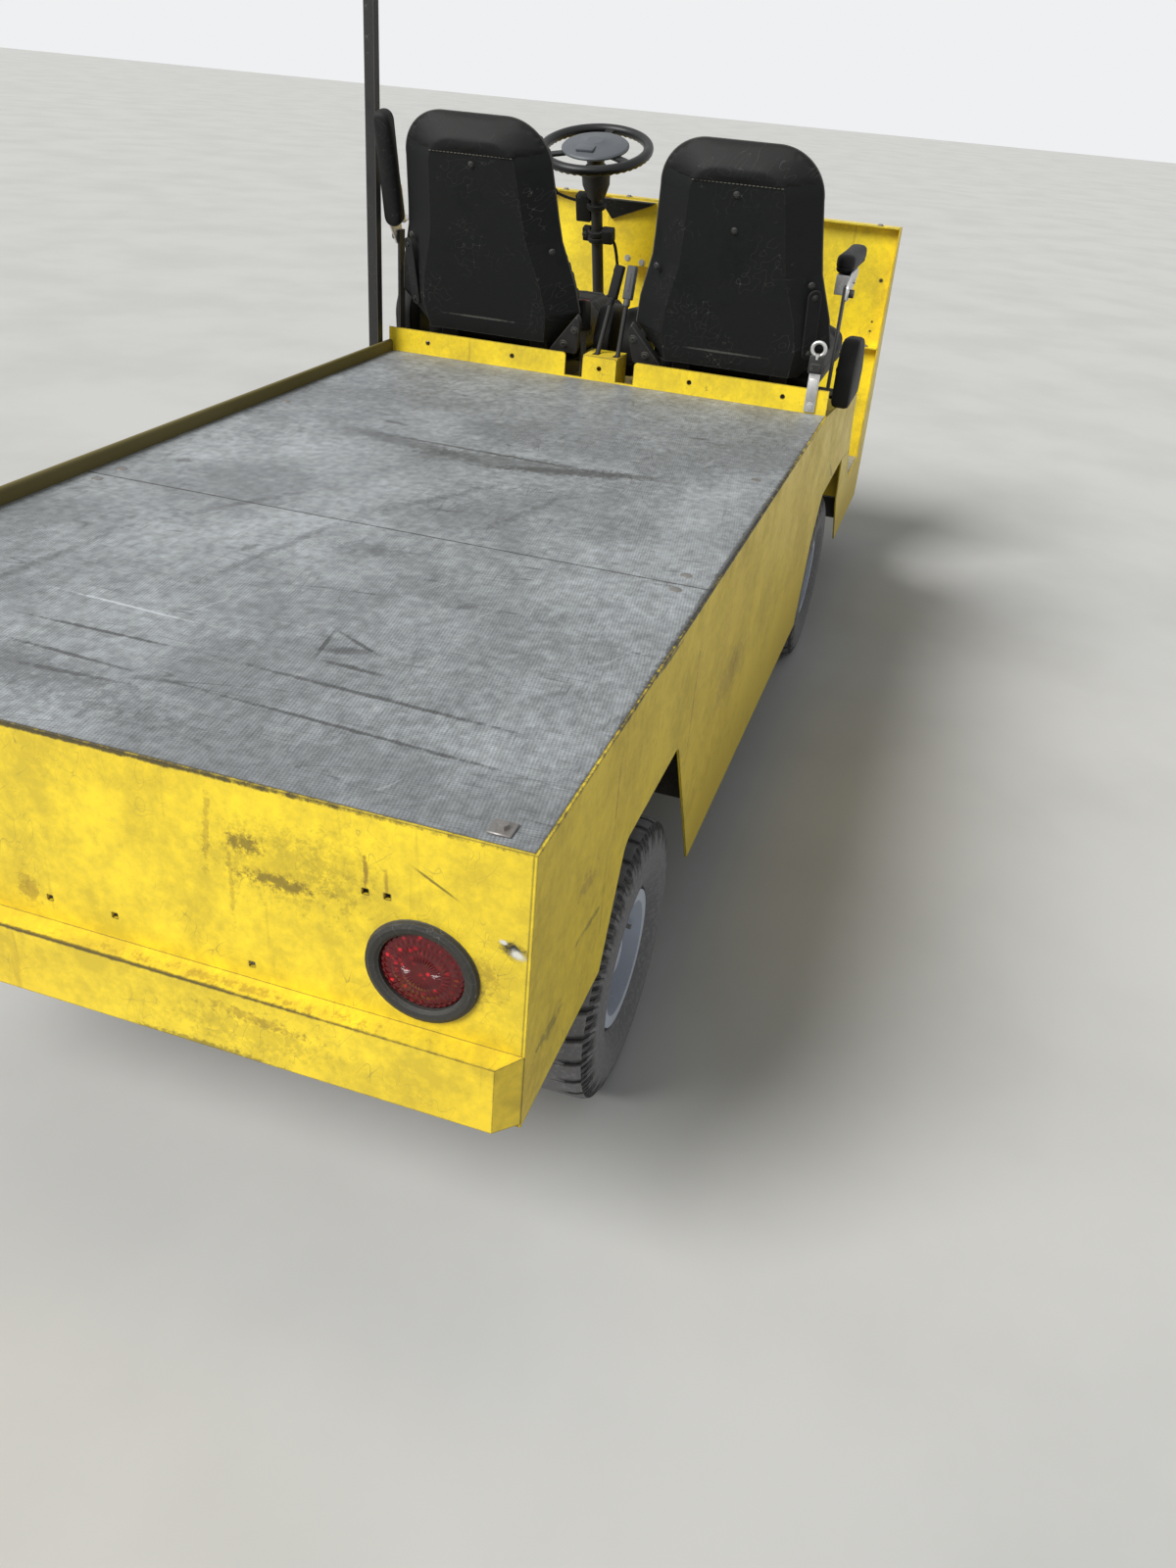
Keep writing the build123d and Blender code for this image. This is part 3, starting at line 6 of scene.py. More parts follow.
import json
import logging
import math
from collections.abc import Callable, Iterable, Sequence
from dataclasses import dataclass
from enum import Enum

import bmesh
import bpy
from bmesh.types import BMEdge, BMesh, BMVert
from bpy.types import Mesh, NodeTree, Object
from mathutils import Matrix, Vector


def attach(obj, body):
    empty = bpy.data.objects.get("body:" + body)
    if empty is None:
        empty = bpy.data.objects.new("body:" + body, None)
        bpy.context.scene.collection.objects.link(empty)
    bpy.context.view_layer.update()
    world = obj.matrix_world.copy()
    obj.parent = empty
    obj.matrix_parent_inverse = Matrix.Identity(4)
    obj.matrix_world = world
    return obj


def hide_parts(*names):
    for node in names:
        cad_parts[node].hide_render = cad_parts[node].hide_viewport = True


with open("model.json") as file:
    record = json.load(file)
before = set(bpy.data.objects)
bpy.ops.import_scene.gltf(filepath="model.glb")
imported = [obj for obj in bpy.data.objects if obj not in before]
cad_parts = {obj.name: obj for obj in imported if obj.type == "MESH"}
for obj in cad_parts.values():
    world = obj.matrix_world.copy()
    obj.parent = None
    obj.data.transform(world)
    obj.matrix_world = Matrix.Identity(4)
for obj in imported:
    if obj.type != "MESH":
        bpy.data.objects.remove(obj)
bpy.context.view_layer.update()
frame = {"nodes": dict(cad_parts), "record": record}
LOG = logging.getLogger("carrier")

# Faces of the model that more than one part of this script refers to.
DECK_Z, DECK_EDGE_Y = 0.770, 0.556
REAR_X, BUMPER_X = -1.685, -1.710
SIDE_Y, COWL_X = -0.562, 1.446
SEAT_Y, SEAT_FLOOR_Z = 0.304, 0.728
AXLE_X = {"rear": -1.150, "front": 0.676}
THROUGH = 1.0

Colour = tuple[float, float, float, float]
Point = tuple[float, float, float]
Profile = Sequence[tuple[float, float]]
Socket = bpy.types.NodeSocket
Distance = Callable[[Vector], float]

UP, AHEAD, BACK = (0.0, 0.0, 1.0), (1.0, 0.0, 0.0), (-1.0, 0.0, 0.0)
ZERO = (0.0, 0.0, 0.0)


def srgb(red: int, green: int, blue: int) -> Colour:
    """Return the linear colour of a screen colour given in 0 to 255."""
    return tuple(((c / 255 + 0.055) / 1.055) ** 2.4 for c in (red, green, blue)) + (1.0,)


def toned(colour: Colour, factors: Sequence[float]) -> Colour:
    """Return a colour with its three channels scaled."""
    return tuple(c * f for c, f in zip(colour, factors)) + (1.0,)


class Side(Enum):
    """The two sides of the vehicle."""

    LEFT = 1
    RIGHT = -1

    @property
    def word(self) -> str:
        """Name of the side as the CAD nodes spell it."""
        return self.name.lower()


# ---- materials


class Graph:
    """Short calls that add nodes to one tree and hand back the socket with the result."""

    def __init__(self, tree: NodeTree) -> None:
        """Work on the given tree."""
        self.tree = tree

    def add(self, kind: str, feeds: dict | None = None, **settings: object) -> bpy.types.Node:
        """Add one node.

        Args:
            kind: Type of the node without its ShaderNode prefix.
            feeds: Values or sockets for its inputs, by name or index.
            settings: Properties to set on the node.

        Returns:
            The new node.
        """
        node = self.tree.nodes.new("ShaderNode" + kind)
        for name, value in settings.items():
            setattr(node, name, value)
        for name, value in (feeds or {}).items():
            self.feed(node.inputs[name], value)
        return node

    def feed(self, socket: Socket, value: object) -> None:
        """Link an input, or set it where the value is plain.

        Args:
            socket: The input.
            value: A socket to link it to, or its plain value.
        """
        if isinstance(value, Socket):
            self.tree.links.new(value, socket)
        else:
            socket.default_value = value

    def show(self, name: str, value: object) -> None:
        """Link or set an input of the tree's Principled shader."""
        self.feed(self.tree.nodes["Principled BSDF"].inputs[name], value)

    def effect(self, effect: "Effect", feeds: dict) -> Socket:
        """Place a shared effect with values for its inputs, and return its output."""
        return self.add("Group", feeds, node_tree=effect.tree).outputs[0]

    def place(self) -> Socket:
        """Return the Object coordinates."""
        return self.add("TexCoord").outputs["Object"]

    def math(self, operation: str, first: object, second: object = 0.5) -> Socket:
        """Return the result of a Math node."""
        return self.add("Math", {0: first, 1: second}, operation=operation).outputs[0]

    def vector(
        self, operation: str, first: object, second: object, by: int | str = 1, out: int | str = 0
    ) -> Socket:
        """Return one result of a Vector Math node whose second value goes to a given input."""
        return self.add("VectorMath", {0: first, by: second}, operation=operation).outputs[out]

    def ramp(self, value: object, low: object, high: object) -> Socket:
        """Return a value brought from one range to 0 to 1."""
        return self.add("MapRange", {"Value": value, "From Min": low, "From Max": high}).outputs["Result"]

    def turned(self, vector: object, by: str, turn: object, kind: str, invert: bool = False) -> Socket:
        """Return a vector turned by the named input of a Vector Rotate node."""
        node = self.add("VectorRotate", {"Vector": vector, by: turn}, rotation_type=kind, invert=invert)
        return node.outputs[0]

    def remap(
        self, value: object, low: float, high: float, start: float = 0.0, end: float = 1.0
    ) -> Socket:
        """Return a value eased from one range to another."""
        feeds = {"Value": value, "From Min": low, "From Max": high, "To Min": start, "To Max": end}
        return self.add("MapRange", feeds, interpolation_type="SMOOTHSTEP").outputs["Result"]

    def noise(self, vector: object, scale: object, detail: float = 4.0, rough: float = 0.55) -> Socket:
        """Return a noise value."""
        feeds = {"Vector": vector, "Scale": scale, "Detail": detail, "Roughness": rough}
        return self.add("TexNoise", feeds).outputs[0]

    def product(self, first: object, second: object) -> Socket:
        """Return two values multiplied."""
        return self.math("MULTIPLY", first, second)

    def mix(self, factor: object, first: object, second: object) -> Socket:
        """Return a colour between two."""
        return self.add("Mix", {0: factor, 6: first, 7: second}, data_type="RGBA").outputs[2]

    def lay(self, colour: object, mask: object, share: float, shade: Colour) -> Socket:
        """Return a colour with a shade laid over it by a share of a mask."""
        return self.mix(self.product(mask, share), colour, shade)

    def mark(self, colour: Socket, marks: "Marks") -> Socket:
        """Lay marks over a colour.

        Args:
            colour: The colour.
            marks: Each shade with its strokes.

        Returns:
            The marked colour.
        """
        for shade, strokes in marks:
            for stroke in strokes:
                colour = self.mix(stroke.mask(self), colour, shade)
        return colour

    def grime(self, scale: float, amount: float) -> Socket:
        """Return a mask of dirt blotches."""
        return self.effect(GRIME, {"Scale": scale, "Amount": amount})

    def wear(self, radius: float, amount: float) -> Socket:
        """Return a mask of worn edges."""
        return self.effect(WEAR, {"Radius": radius, "Amount": amount})

    def scratches(self, turn: Point, scale: float, width: float) -> Socket:
        """Return a mask of fine scratches along one direction."""
        return self.effect(SCRATCHES, {"Turn": turn, "Scale": scale, "Width": width})

    def streaks(self, stretch: Point, spread: float) -> Socket:
        """Return a mask of streaks drawn out along one axis."""
        return self.effect(STREAKS, {"Stretch": stretch, "Spread": spread})

    def blend(self, factor: object, first: object, second: object) -> Socket:
        """Return a number between two."""
        return self.add("Mix", {0: factor, 2: first, 3: second}).outputs[0]

    def bump(self, height: object, strength: float, distance: float) -> Socket:
        """Return the normal of a Bump node."""
        feeds = {"Height": height, "Strength": strength, "Distance": distance}
        return self.add("Bump", feeds).outputs["Normal"]


class Effect(Graph):
    """A shader node group with named sockets, shared by the materials that show it."""

    def __init__(self, name: str, inputs: dict[str, object], output: str = "Mask") -> None:
        """Make the group.

        Args:
            name: Name of the group.
            inputs: Default of each input by its name.
            output: Name of its one output.
        """
        super().__init__(bpy.data.node_groups.new(name, "ShaderNodeTree"))
        for label, default in inputs.items():
            kind = "NodeSocketFloat" if isinstance(default, float) else "NodeSocketVector"
            socket = self.tree.interface.new_socket(name=label, in_out="INPUT", socket_type=kind)
            socket.default_value = default
        self.tree.interface.new_socket(name=output, in_out="OUTPUT", socket_type="NodeSocketFloat")
        self.inputs = self.tree.nodes.new("NodeGroupInput").outputs
        self.output = self.tree.nodes.new("NodeGroupOutput").inputs[0]


def grime_effect() -> Effect:
    """Build blotches of dirt in two sizes.

    Returns:
        The effect.
    """
    g = Effect("grime", {"Scale": 6.0, "Amount": 0.4})
    large = g.noise(g.place(), g.inputs["Scale"], 6.0, 0.65)
    fine = g.noise(g.place(), g.product(g.inputs["Scale"], 7.3), 4.0, 0.7)
    both = g.math("ADD", g.product(large, 0.68), g.product(fine, 0.32))
    low = g.math("SUBTRACT", 0.98, g.inputs["Amount"])
    g.feed(g.output, g.ramp(both, g.math("SUBTRACT", low, 0.2), low))
    return g


def streak_effect() -> Effect:
    """Build fine streaks drawn out along one axis of the object.

    Returns:
        The effect.
    """
    g = Effect("streaks", {"Stretch": (60.0, 60.0, 4.0), "Spread": 0.12})
    stretched = g.vector("MULTIPLY", g.place(), g.inputs["Stretch"])
    lines = g.noise(stretched, 1.0, 3.0, 0.6)
    low = g.math("SUBTRACT", 0.72, g.inputs["Spread"])
    g.feed(g.output, g.ramp(lines, low, 0.78))
    return g


def scratch_effect() -> Effect:
    """Build thin broken scratches that run along one turned axis.

    Returns:
        The effect.
    """
    g = Effect("scratches", {"Turn": (0.4, 0.3, 0.5), "Scale": 1.0, "Width": 0.012})
    turned = g.turned(g.place(), "Rotation", g.inputs["Turn"], "EULER_XYZ")
    stretched = g.vector("MULTIPLY", turned, (3.0, 42.0, 42.0))
    scaled = g.vector("SCALE", stretched, g.inputs["Scale"], by="Scale")
    lines = g.noise(scaled, 1.0, 0.0)
    off = g.math("ABSOLUTE", g.math("SUBTRACT", lines, 0.5))
    near = g.ramp(off, g.inputs["Width"], 0.0)
    patches = g.remap(g.noise(g.place(), 9.0, 3.0), 0.5, 0.62)
    g.feed(g.output, g.product(near, patches))
    return g


def wear_effect() -> Effect:
    """Build worn edges, from how far the rounded normal turns away from the face.

    Returns:
        The effect.
    """
    g = Effect("edge_wear", {"Radius": 0.004, "Amount": 0.5})
    rounded = g.add("Bevel", {"Radius": g.inputs["Radius"]}, samples=4).outputs[0]
    face = g.add("NewGeometry").outputs["Normal"]
    turn = g.math("SUBTRACT", 1.0, g.vector("DOT_PRODUCT", rounded, face, out="Value"))
    ragged = g.product(g.noise(g.place(), 55.0, 4.0, 0.7), g.inputs["Amount"])
    worn = g.product(g.product(turn, 9.0), ragged)
    g.feed(g.output, g.remap(worn, 0.3, 0.55))
    return g


def stroke_effect() -> Effect:
    """Build one ragged mark inside a turned ellipsoid.

    Returns:
        The effect.
    """
    inputs = {"Centre": ZERO, "Turn": ZERO, "Half": (0.1, 0.01, 1.0), "Ragged": 0.5}
    g = Effect("stroke", inputs)
    offset = g.vector("SUBTRACT", g.place(), g.inputs["Centre"])
    turned = g.turned(offset, "Rotation", g.inputs["Turn"], "EULER_XYZ", invert=True)
    scaled = g.vector("DIVIDE", turned, g.inputs["Half"])
    reach = g.add("VectorMath", {0: scaled}, operation="LENGTH").outputs["Value"]
    uneven = g.math("SUBTRACT", g.noise(g.place(), 90.0, 5.0, 0.75), 0.5)
    ragged = g.product(uneven, g.inputs["Ragged"])
    g.feed(g.output, g.remap(g.math("ADD", reach, g.product(ragged, 2.2)), 1.0, 0.35))
    return g


def grain_effect() -> Effect:
    """Build the pebbled height of a leather grain or a moulded texture.

    Returns:
        The effect.
    """
    g = Effect("grain", {"Scale": 420.0}, "Height")
    feeds = {"Vector": g.place(), "Scale": g.inputs["Scale"]}
    cells = g.add("TexVoronoi", feeds, feature="SMOOTH_F1").outputs["Distance"]
    pores = g.noise(g.place(), g.product(g.inputs["Scale"], 2.6), 2.0)
    g.feed(g.output, g.math("ADD", cells, g.product(pores, 0.35)))
    return g


def weave_effect() -> Effect:
    """Build the height of a fine mesh that runs across a flat face at an angle.

    Returns:
        The effect.
    """
    g = Effect("mesh_weave", {"Pitch": 0.006, "Turn": 0.6}, "Height")
    turned = g.turned(g.place(), "Angle", g.inputs["Turn"], "Z_AXIS")
    parts = g.add("SeparateXYZ", {0: turned}).outputs
    rate = g.math("DIVIDE", 2 * math.pi, g.inputs["Pitch"])
    waves = [g.math("SINE", g.product(parts[axis], rate)) for axis in (0, 1)]
    g.feed(g.output, g.product(waves[0], waves[1]))
    return g


GRIME = grime_effect()
STREAKS = streak_effect()
SCRATCHES = scratch_effect()
WEAR = wear_effect()
STROKE = stroke_effect()
GRAIN = grain_effect()
WEAVE = weave_effect()


@dataclass(frozen=True)
class Stroke:
    """One mark: its middle, how it is turned, its half sizes along its own axes and how ragged it is."""

    centre: Point
    turn: Point
    half: Point
    ragged: float = 0.5
    strength: float = 1.0

    def mask(self, g: Graph) -> Socket:
        """Return the mark's mask in a material."""
        feeds = {"Centre": self.centre, "Turn": self.turn, "Half": self.half, "Ragged": self.ragged}
        return g.product(g.effect(STROKE, feeds), self.strength)


Marks = tuple[tuple[Colour, tuple[Stroke, ...]], ...]


@dataclass(frozen=True)
class Finish:
    """What the materials share: a name, a colour, the plain numbers of the shader and painted marks."""

    name: str
    slot: str
    colour: Colour
    rough: float = 0.5
    metallic: float = 0.0
    specular: float = 0.5
    marks: Marks = ()

    def material(self) -> bpy.types.Material:
        """Find the material, or make it on first use beside the plain one that the CAD slot brings.

        Returns:
            The material.
        """
        label = f"{self.name}_finish"
        made = bpy.data.materials.get(label)
        if made:
            return made
        made = bpy.data.materials.new(label)
        made.use_nodes = True
        g = Graph(made.node_tree)
        g.show("Roughness", self.rough)
        g.show("Metallic", self.metallic)
        g.show("Specular IOR Level", self.specular)
        self.dress(g)
        return made

    def dress(self, g: Graph) -> None:
        """Wire the finish's own look into the shader.

        Args:
            g: The material's nodes.
        """
        grime = g.grime(9.0, 0.45)
        g.show("Base Color", g.lay(self.colour, grime, 0.6, toned(self.colour, (0.6, 0.6, 0.6))))
        g.show("Roughness", g.blend(grime, self.rough, min(self.rough + 0.2, 1.0)))


@dataclass(frozen=True)
class Enamel(Finish):
    """Worn industrial enamel: faded, grimy, scratched and chipped along its edges."""

    dirt: float = 0.34
    streaks: Point = (34.0, 34.0, 2.6)
    dirt_low: float = 0.2
    dirt_high: float = 0.5

    def dress(self, g: Graph) -> None:
        """Lay dirt, streaks, scratches, marks and worn edges over the enamel.

        Args:
            g: The material's nodes.
        """
        faded = g.noise(g.place(), 2.3, 5.0)
        colour = g.mix(g.remap(faded, 0.42, 0.66), self.colour, toned(self.colour, (0.94, 0.91, 0.80)))
        height = g.add("SeparateXYZ", {0: g.place()}).outputs[2]
        low = g.remap(height, self.dirt_high, self.dirt_low)
        dirt = g.grime(8.0, self.dirt)
        lower_dirt = g.product(g.grime(11.0, 0.62), low)
        dirty = g.math("MAXIMUM", g.product(dirt, 0.42), g.product(lower_dirt, 0.45))
        colour = g.mix(dirty, colour, srgb(124, 108, 46))
        runs = g.streaks(self.streaks, 0.06)
        colour = g.lay(colour, runs, 0.42, srgb(112, 84, 36))
        fine = g.scratches((0.3, 0.5, 0.2), 1.0, 0.007)
        cross = g.scratches((1.2, 0.2, 1.9), 1.4, 0.008)
        scratched = g.product(g.math("MAXIMUM", fine, cross), 0.5)
        colour = g.mix(scratched, colour, srgb(112, 96, 60))
        colour = g.mark(colour, self.marks)
        worn = g.wear(0.0035, 1.0)
        colour = g.lay(colour, worn, 0.9, srgb(44, 40, 34))
        g.show("Base Color", colour)
        g.show("Roughness", g.blend(g.math("MAXIMUM", dirty, worn), self.rough, 0.72))
        peel = g.math("ADD", g.noise(g.place(), 160.0, 3.0), g.product(scratched, -1.4))
        g.show("Normal", g.bump(peel, 0.12, 0.0012))


@dataclass(frozen=True)
class DeckCoat(Finish):
    """Grey anti-slip coating with a fine mesh, brushed streaks, pale wear and dark scuffs."""

    hatch: tuple[Point, Point] = ((280.0, 12.0, 30.0), (14.0, 300.0, 30.0))
    scores: tuple[tuple[float, float, float, Colour], ...] = (
        (1.35, 0.011, 0.6, srgb(48, 48, 47)),
        (-0.2, 0.008, 0.5, srgb(58, 58, 57)),
        (0.3, 0.006, 0.4, srgb(196, 199, 200)),
    )

    def dress(self, g: Graph) -> None:
        """Lay the mesh, the wear and the scuffs over the coating.

        Args:
            g: The material's nodes.
        """
        pale = g.grime(3.4, 0.5)
        colour = g.lay(self.colour, pale, 0.7, srgb(198, 202, 204))
        dark = g.grime(2.6, 0.42)
        colour = g.lay(colour, dark, 0.62, srgb(98, 101, 102))
        hatch = g.math("MAXIMUM", *[g.streaks(pull, 0.16) for pull in self.hatch])
        patchy = g.remap(g.noise(g.place(), 5.5, 5.0, 0.6), 0.36, 0.6, 0.3, 1.0)
        colour = g.lay(colour, g.product(hatch, patchy), 0.75, srgb(66, 68, 68))
        mesh = g.effect(WEAVE, {"Pitch": 0.0062, "Turn": 0.62})
        colour = g.mix(g.remap(mesh, 0.1, 0.9, 0.0, 0.3), colour, srgb(74, 76, 76))
        specks = g.grime(60.0, 0.38)
        colour = g.lay(colour, specks, 0.45, srgb(58, 58, 56))
        for turn, width, reach, shade in self.scores:
            colour = g.lay(colour, g.scratches((0.0, 0.0, turn), 0.8, width), reach, shade)
        colour = g.mark(colour, self.marks)
        worn = g.wear(0.005, 0.8)
        colour = g.mix(worn, colour, srgb(60, 58, 54))
        g.show("Base Color", colour)
        g.show("Roughness", g.blend(pale, self.rough, self.rough - 0.12))
        g.show("Normal", g.bump(mesh, 0.25, 0.0012))


@dataclass(frozen=True)
class Moulded(Finish):
    """Dusty textured plastic, vinyl or rubber: a grain, pale scuffs on its edges and dust on top."""

    grain: float = 420.0
    depth: float = 0.0009
    dust: float = 0.35
    dust_colour: Colour = srgb(120, 118, 110)
    scuffs: float = 0.3
    sheen: float = 0.0

    def dress(self, g: Graph) -> None:
        """Lay dust, scuffs and the grain over the base colour.

        Args:
            g: The material's nodes.
        """
        g.show("Sheen Weight", self.sheen)
        g.show("Sheen Roughness", 0.4)
        dusty = g.grime(7.0, 0.5)
        up = g.add("SeparateXYZ", {0: g.add("NewGeometry").outputs["Normal"]}).outputs[2]
        settled = g.product(dusty, g.remap(up, -0.2, 1.0, 0.35, 1.0))
        colour = g.lay(self.colour, settled, self.dust, self.dust_colour)
        fine = g.scratches((0.7, 0.2, 0.9), 1.6, 0.008)
        rubbed = g.wear(0.004, 0.7)
        scuffed = g.product(g.math("MAXIMUM", fine, rubbed), self.scuffs)
        colour = g.mix(scuffed, colour, srgb(150, 148, 140))
        colour = g.mark(colour, self.marks)
        g.show("Base Color", colour)
        g.show("Roughness", g.blend(settled, self.rough, min(self.rough + 0.25, 1.0)))
        g.show("Normal", g.bump(g.effect(GRAIN, {"Scale": self.grain}), 0.5, self.depth))


@dataclass(frozen=True)
class Metal(Finish):
    """Plated, bare or painted steel with fingerprints, stains and rust in patches."""

    rust: float = 0.2
    rust_colour: Colour = srgb(96, 62, 40)

    def dress(self, g: Graph) -> None:
        """Stain the metal and rust it in patches.

        Args:
            g: The material's nodes.
        """
        stained = g.grime(26.0, 0.45)
        rusty = g.product(g.grime(40.0, 0.38), self.rust)
        colour = g.lay(self.colour, stained, 0.5, toned(self.colour, (0.62, 0.62, 0.62)))
        g.show("Base Color", g.mix(rusty, colour, self.rust_colour))
        g.show("Metallic", g.blend(rusty, self.metallic, 0.0))
        dulled = g.math("MAXIMUM", rusty, g.product(stained, 0.5))
        g.show("Roughness", g.blend(dulled, self.rough, 0.75))
        brushed = g.streaks((300.0, 300.0, 40.0), 0.3)
        g.show("Normal", g.bump(brushed, 0.1, 0.0006))


@dataclass(frozen=True)
class Lens(Finish):
    """Clear-coated lamp plastic with fine ribs, dust and painted glints: a brighter colour in patches of its
    facets.
    """

    glint_colour: Colour = srgb(255, 80, 60)
    ribs: float = 190.0
    dust: float = 0.06

    def dress(self, g: Graph) -> None:
        """Give the lens a gloss coat, ribs, painted glints and dust.

        Args:
            g: The material's nodes.
        """
        g.show("Coat Weight", 0.4)
        g.show("Coat Roughness", 0.06)
        cells = g.add("TexVoronoi", {"Vector": g.place(), "Scale": self.ribs}).outputs["Distance"]
        # Painted glints: bright spots of the lens colour in patches of the rib cells, in place of light
        # caught in the facets.
        glint_patches = g.remap(g.noise(g.place(), self.ribs * 0.55, 3.0, 0.6), 0.44, 0.6, 0.15, 1.0)
        painted_glints = g.product(g.remap(cells, 0.42, 0.08), glint_patches)
        colour = g.lay(self.colour, painted_glints, 0.85, self.glint_colour)
        dusty = g.grime(30.0, 0.42)
        g.show("Base Color", g.lay(colour, dusty, self.dust, srgb(120, 104, 92)))
        g.show("Normal", g.bump(cells, 0.5, 0.0015))


@dataclass(frozen=True)
class Tread(Finish):
    """Dusty tyre rubber, paler on the tread, with painted shade darkening it down in the grooves and on the
    flank.
    """

    def dress(self, g: Graph) -> None:
        """Dust the rubber by blotches and speckle, scuff its edges and paint shade into its grooves.

        Args:
            g: The material's nodes.
        """
        dusty = g.grime(12.0, 0.58)
        speckle = g.grime(120.0, 0.46)
        colour = g.lay(self.colour, dusty, 0.7, srgb(156, 154, 154))
        colour = g.lay(colour, speckle, 0.5, srgb(68, 68, 70))
        worn = g.wear(0.003, 0.9)
        colour = g.lay(colour, worn, 0.35, srgb(150, 148, 144))
        # Painted shade: the colour goes towards near black down in the grooves and hollows that ambient
        # occlusion finds closed in.
        open_sky = g.add("AmbientOcclusion", {"Distance": 0.012}, samples=6).outputs["AO"]
        colour = g.mix(g.remap(open_sky, 0.75, 0.35), colour, srgb(22, 22, 23))
        g.show("Base Color", colour)
        g.show("Roughness", g.blend(dusty, self.rough, 0.95))
        g.show("Normal", g.bump(g.noise(g.place(), 380.0, 4.0, 0.7), 0.4, 0.001))


def upright_marks(rows: Iterable[Sequence[float]], across: bool) -> tuple[Stroke, ...]:
    """Return marks on an upright face, each as deep as the whole piece.

    Args:
        rows: For each mark its middle along the face, its height, its turn, two half sizes,
            how ragged it is and its strength.
        across: Whether the face is the rear, which runs along Y, or a side, which runs along X.

    Returns:
        The marks.
    """
    marks = []
    for along, z, turn, half, rise, ragged, strength in rows:
        if across:
            spot = (REAR_X, along, z), (turn, 0.0, 0.0), (THROUGH, half, rise)
        else:
            spot = (along, SIDE_Y, z), (0.0, turn, 0.0), (half, THROUGH, rise)
        marks.append(Stroke(*spot, ragged, strength))
    return tuple(marks)


REAR_DARK = upright_marks((
    (-0.542, 0.644, 0.35, 0.02, 0.013, 0.7, 1.0),
    (-0.228, 0.690, 0.0, 0.022, 0.013, 1.6, 0.5),
    (-0.268, 0.650, 0.0, 0.050, 0.010, 1.6, 0.5),
    (-0.270, 0.672, 0.0, 0.100, 0.055, 1.9, 0.2),
    (-0.345, 0.690, 0.0, 0.050, 0.060, 1.9, 0.14),
), True) + (
    Stroke((BUMPER_X, -0.230, 0.440), ZERO, (0.03, 0.110, 0.030), 1.9, 0.2),
) + upright_marks((
    (-0.16, 0.396, 0.0, 0.12, 0.012, 1.5, 0.55),
    (0.0, 0.768, 0.0, 0.60, 0.0045, 0.8, 0.9),
    (-0.453, 0.704, 0.5, 0.04, 0.0025, 0.3, 0.7),
), True) + (
    Stroke((BUMPER_X, 0.0, 0.4935), ZERO, (0.0045, 0.60, 0.005), 0.6, 0.8),
)
REAR_BARE = upright_marks((
    (-0.546, 0.640, 0.35, 0.013, 0.008, 0.6, 1.0),
    (-0.530, 0.652, 0.2, 0.006, 0.004, 0.6, 1.0),
), True)
REAR_RUST = upright_marks((
    (-0.228, 0.690, 0.0, 0.030, 0.018, 1.6, 0.3),
    (-0.268, 0.650, 0.0, 0.060, 0.016, 1.6, 0.3),
    (-0.372, 0.694, 0.0, 0.004, 0.03, 0.9, 0.6),
    (-0.396, 0.690, 0.0, 0.004, 0.02, 0.9, 0.5),
    (-0.180, 0.700, 0.1, 0.005, 0.06, 1.7, 0.3),
    (-0.205, 0.640, 0.0, 0.004, 0.07, 1.7, 0.3),
    (0.08, 0.54, 0.0, 0.016, 0.03, 1.6, 0.4),
    (-0.494, 0.589, 0.0, 0.04, 0.04, 1.7, 0.35),
    (0.44, 0.69, 0.0, 0.09, 0.06, 1.7, 0.3),
), True) + (
    Stroke((-1.695, -0.20, 0.494), ZERO, (0.012, 0.26, 0.004), 1.6, 0.4),
    Stroke((BUMPER_X, -0.24, 0.462), (0.1, 0.0, 0.0), (0.03, 0.08, 0.010), 1.6, 0.4),
)
SIDE_DARK = (
    Stroke((-1.17, SIDE_Y, 0.764), (0.0, 0.04, 0.0), (0.094, THROUGH, 0.005), 0.9, 0.8),
    Stroke((-0.7, SIDE_Y, 0.769), ZERO, (1.2, 0.1, 0.0035), 0.9),
) + upright_marks((
    (-1.602, 0.472, 0.0, 0.05, 0.014, 1.7, 0.5),
    (-1.46, 0.527, 0.1, 0.07, 0.006, 1.5, 0.5),
    (0.60, 0.560, 0.5, 0.12, 0.006, 1.5, 0.5),
), False)
SIDE_RUST = upright_marks((
    (-1.486, 0.607, 0.2, 0.05, 0.018, 1.7, 0.4),
    (-1.38, 0.660, 0.0, 0.004, 0.08, 1.4, 0.45),
    (-0.95, 0.600, 0.0, 0.005, 0.14, 1.4, 0.45),
    (-0.62, 0.50, 0.0, 0.16, 0.05, 1.7, 0.3),
), False)


def deck_marks(rows: Iterable[Sequence[float]]) -> tuple[Stroke, ...]:
    """Return marks on the deck, each between two points.

    Args:
        rows: For each mark X and Y of its two ends, half its width, how ragged it is and its strength.

    Returns:
        The marks.
    """
    marks = []
    for x, y, end_x, end_y, half, ragged, strength in rows:
        start, end = Vector((x, y)), Vector((end_x, end_y))
        middle, run = (end + start) / 2, end - start
        turn = (0.0, 0.0, math.atan2(run.y, run.x))
        size = (run.length / 2 + half, half, THROUGH)
        marks.append(Stroke((middle.x, middle.y, DECK_Z), turn, size, ragged, strength))
    return tuple(marks)
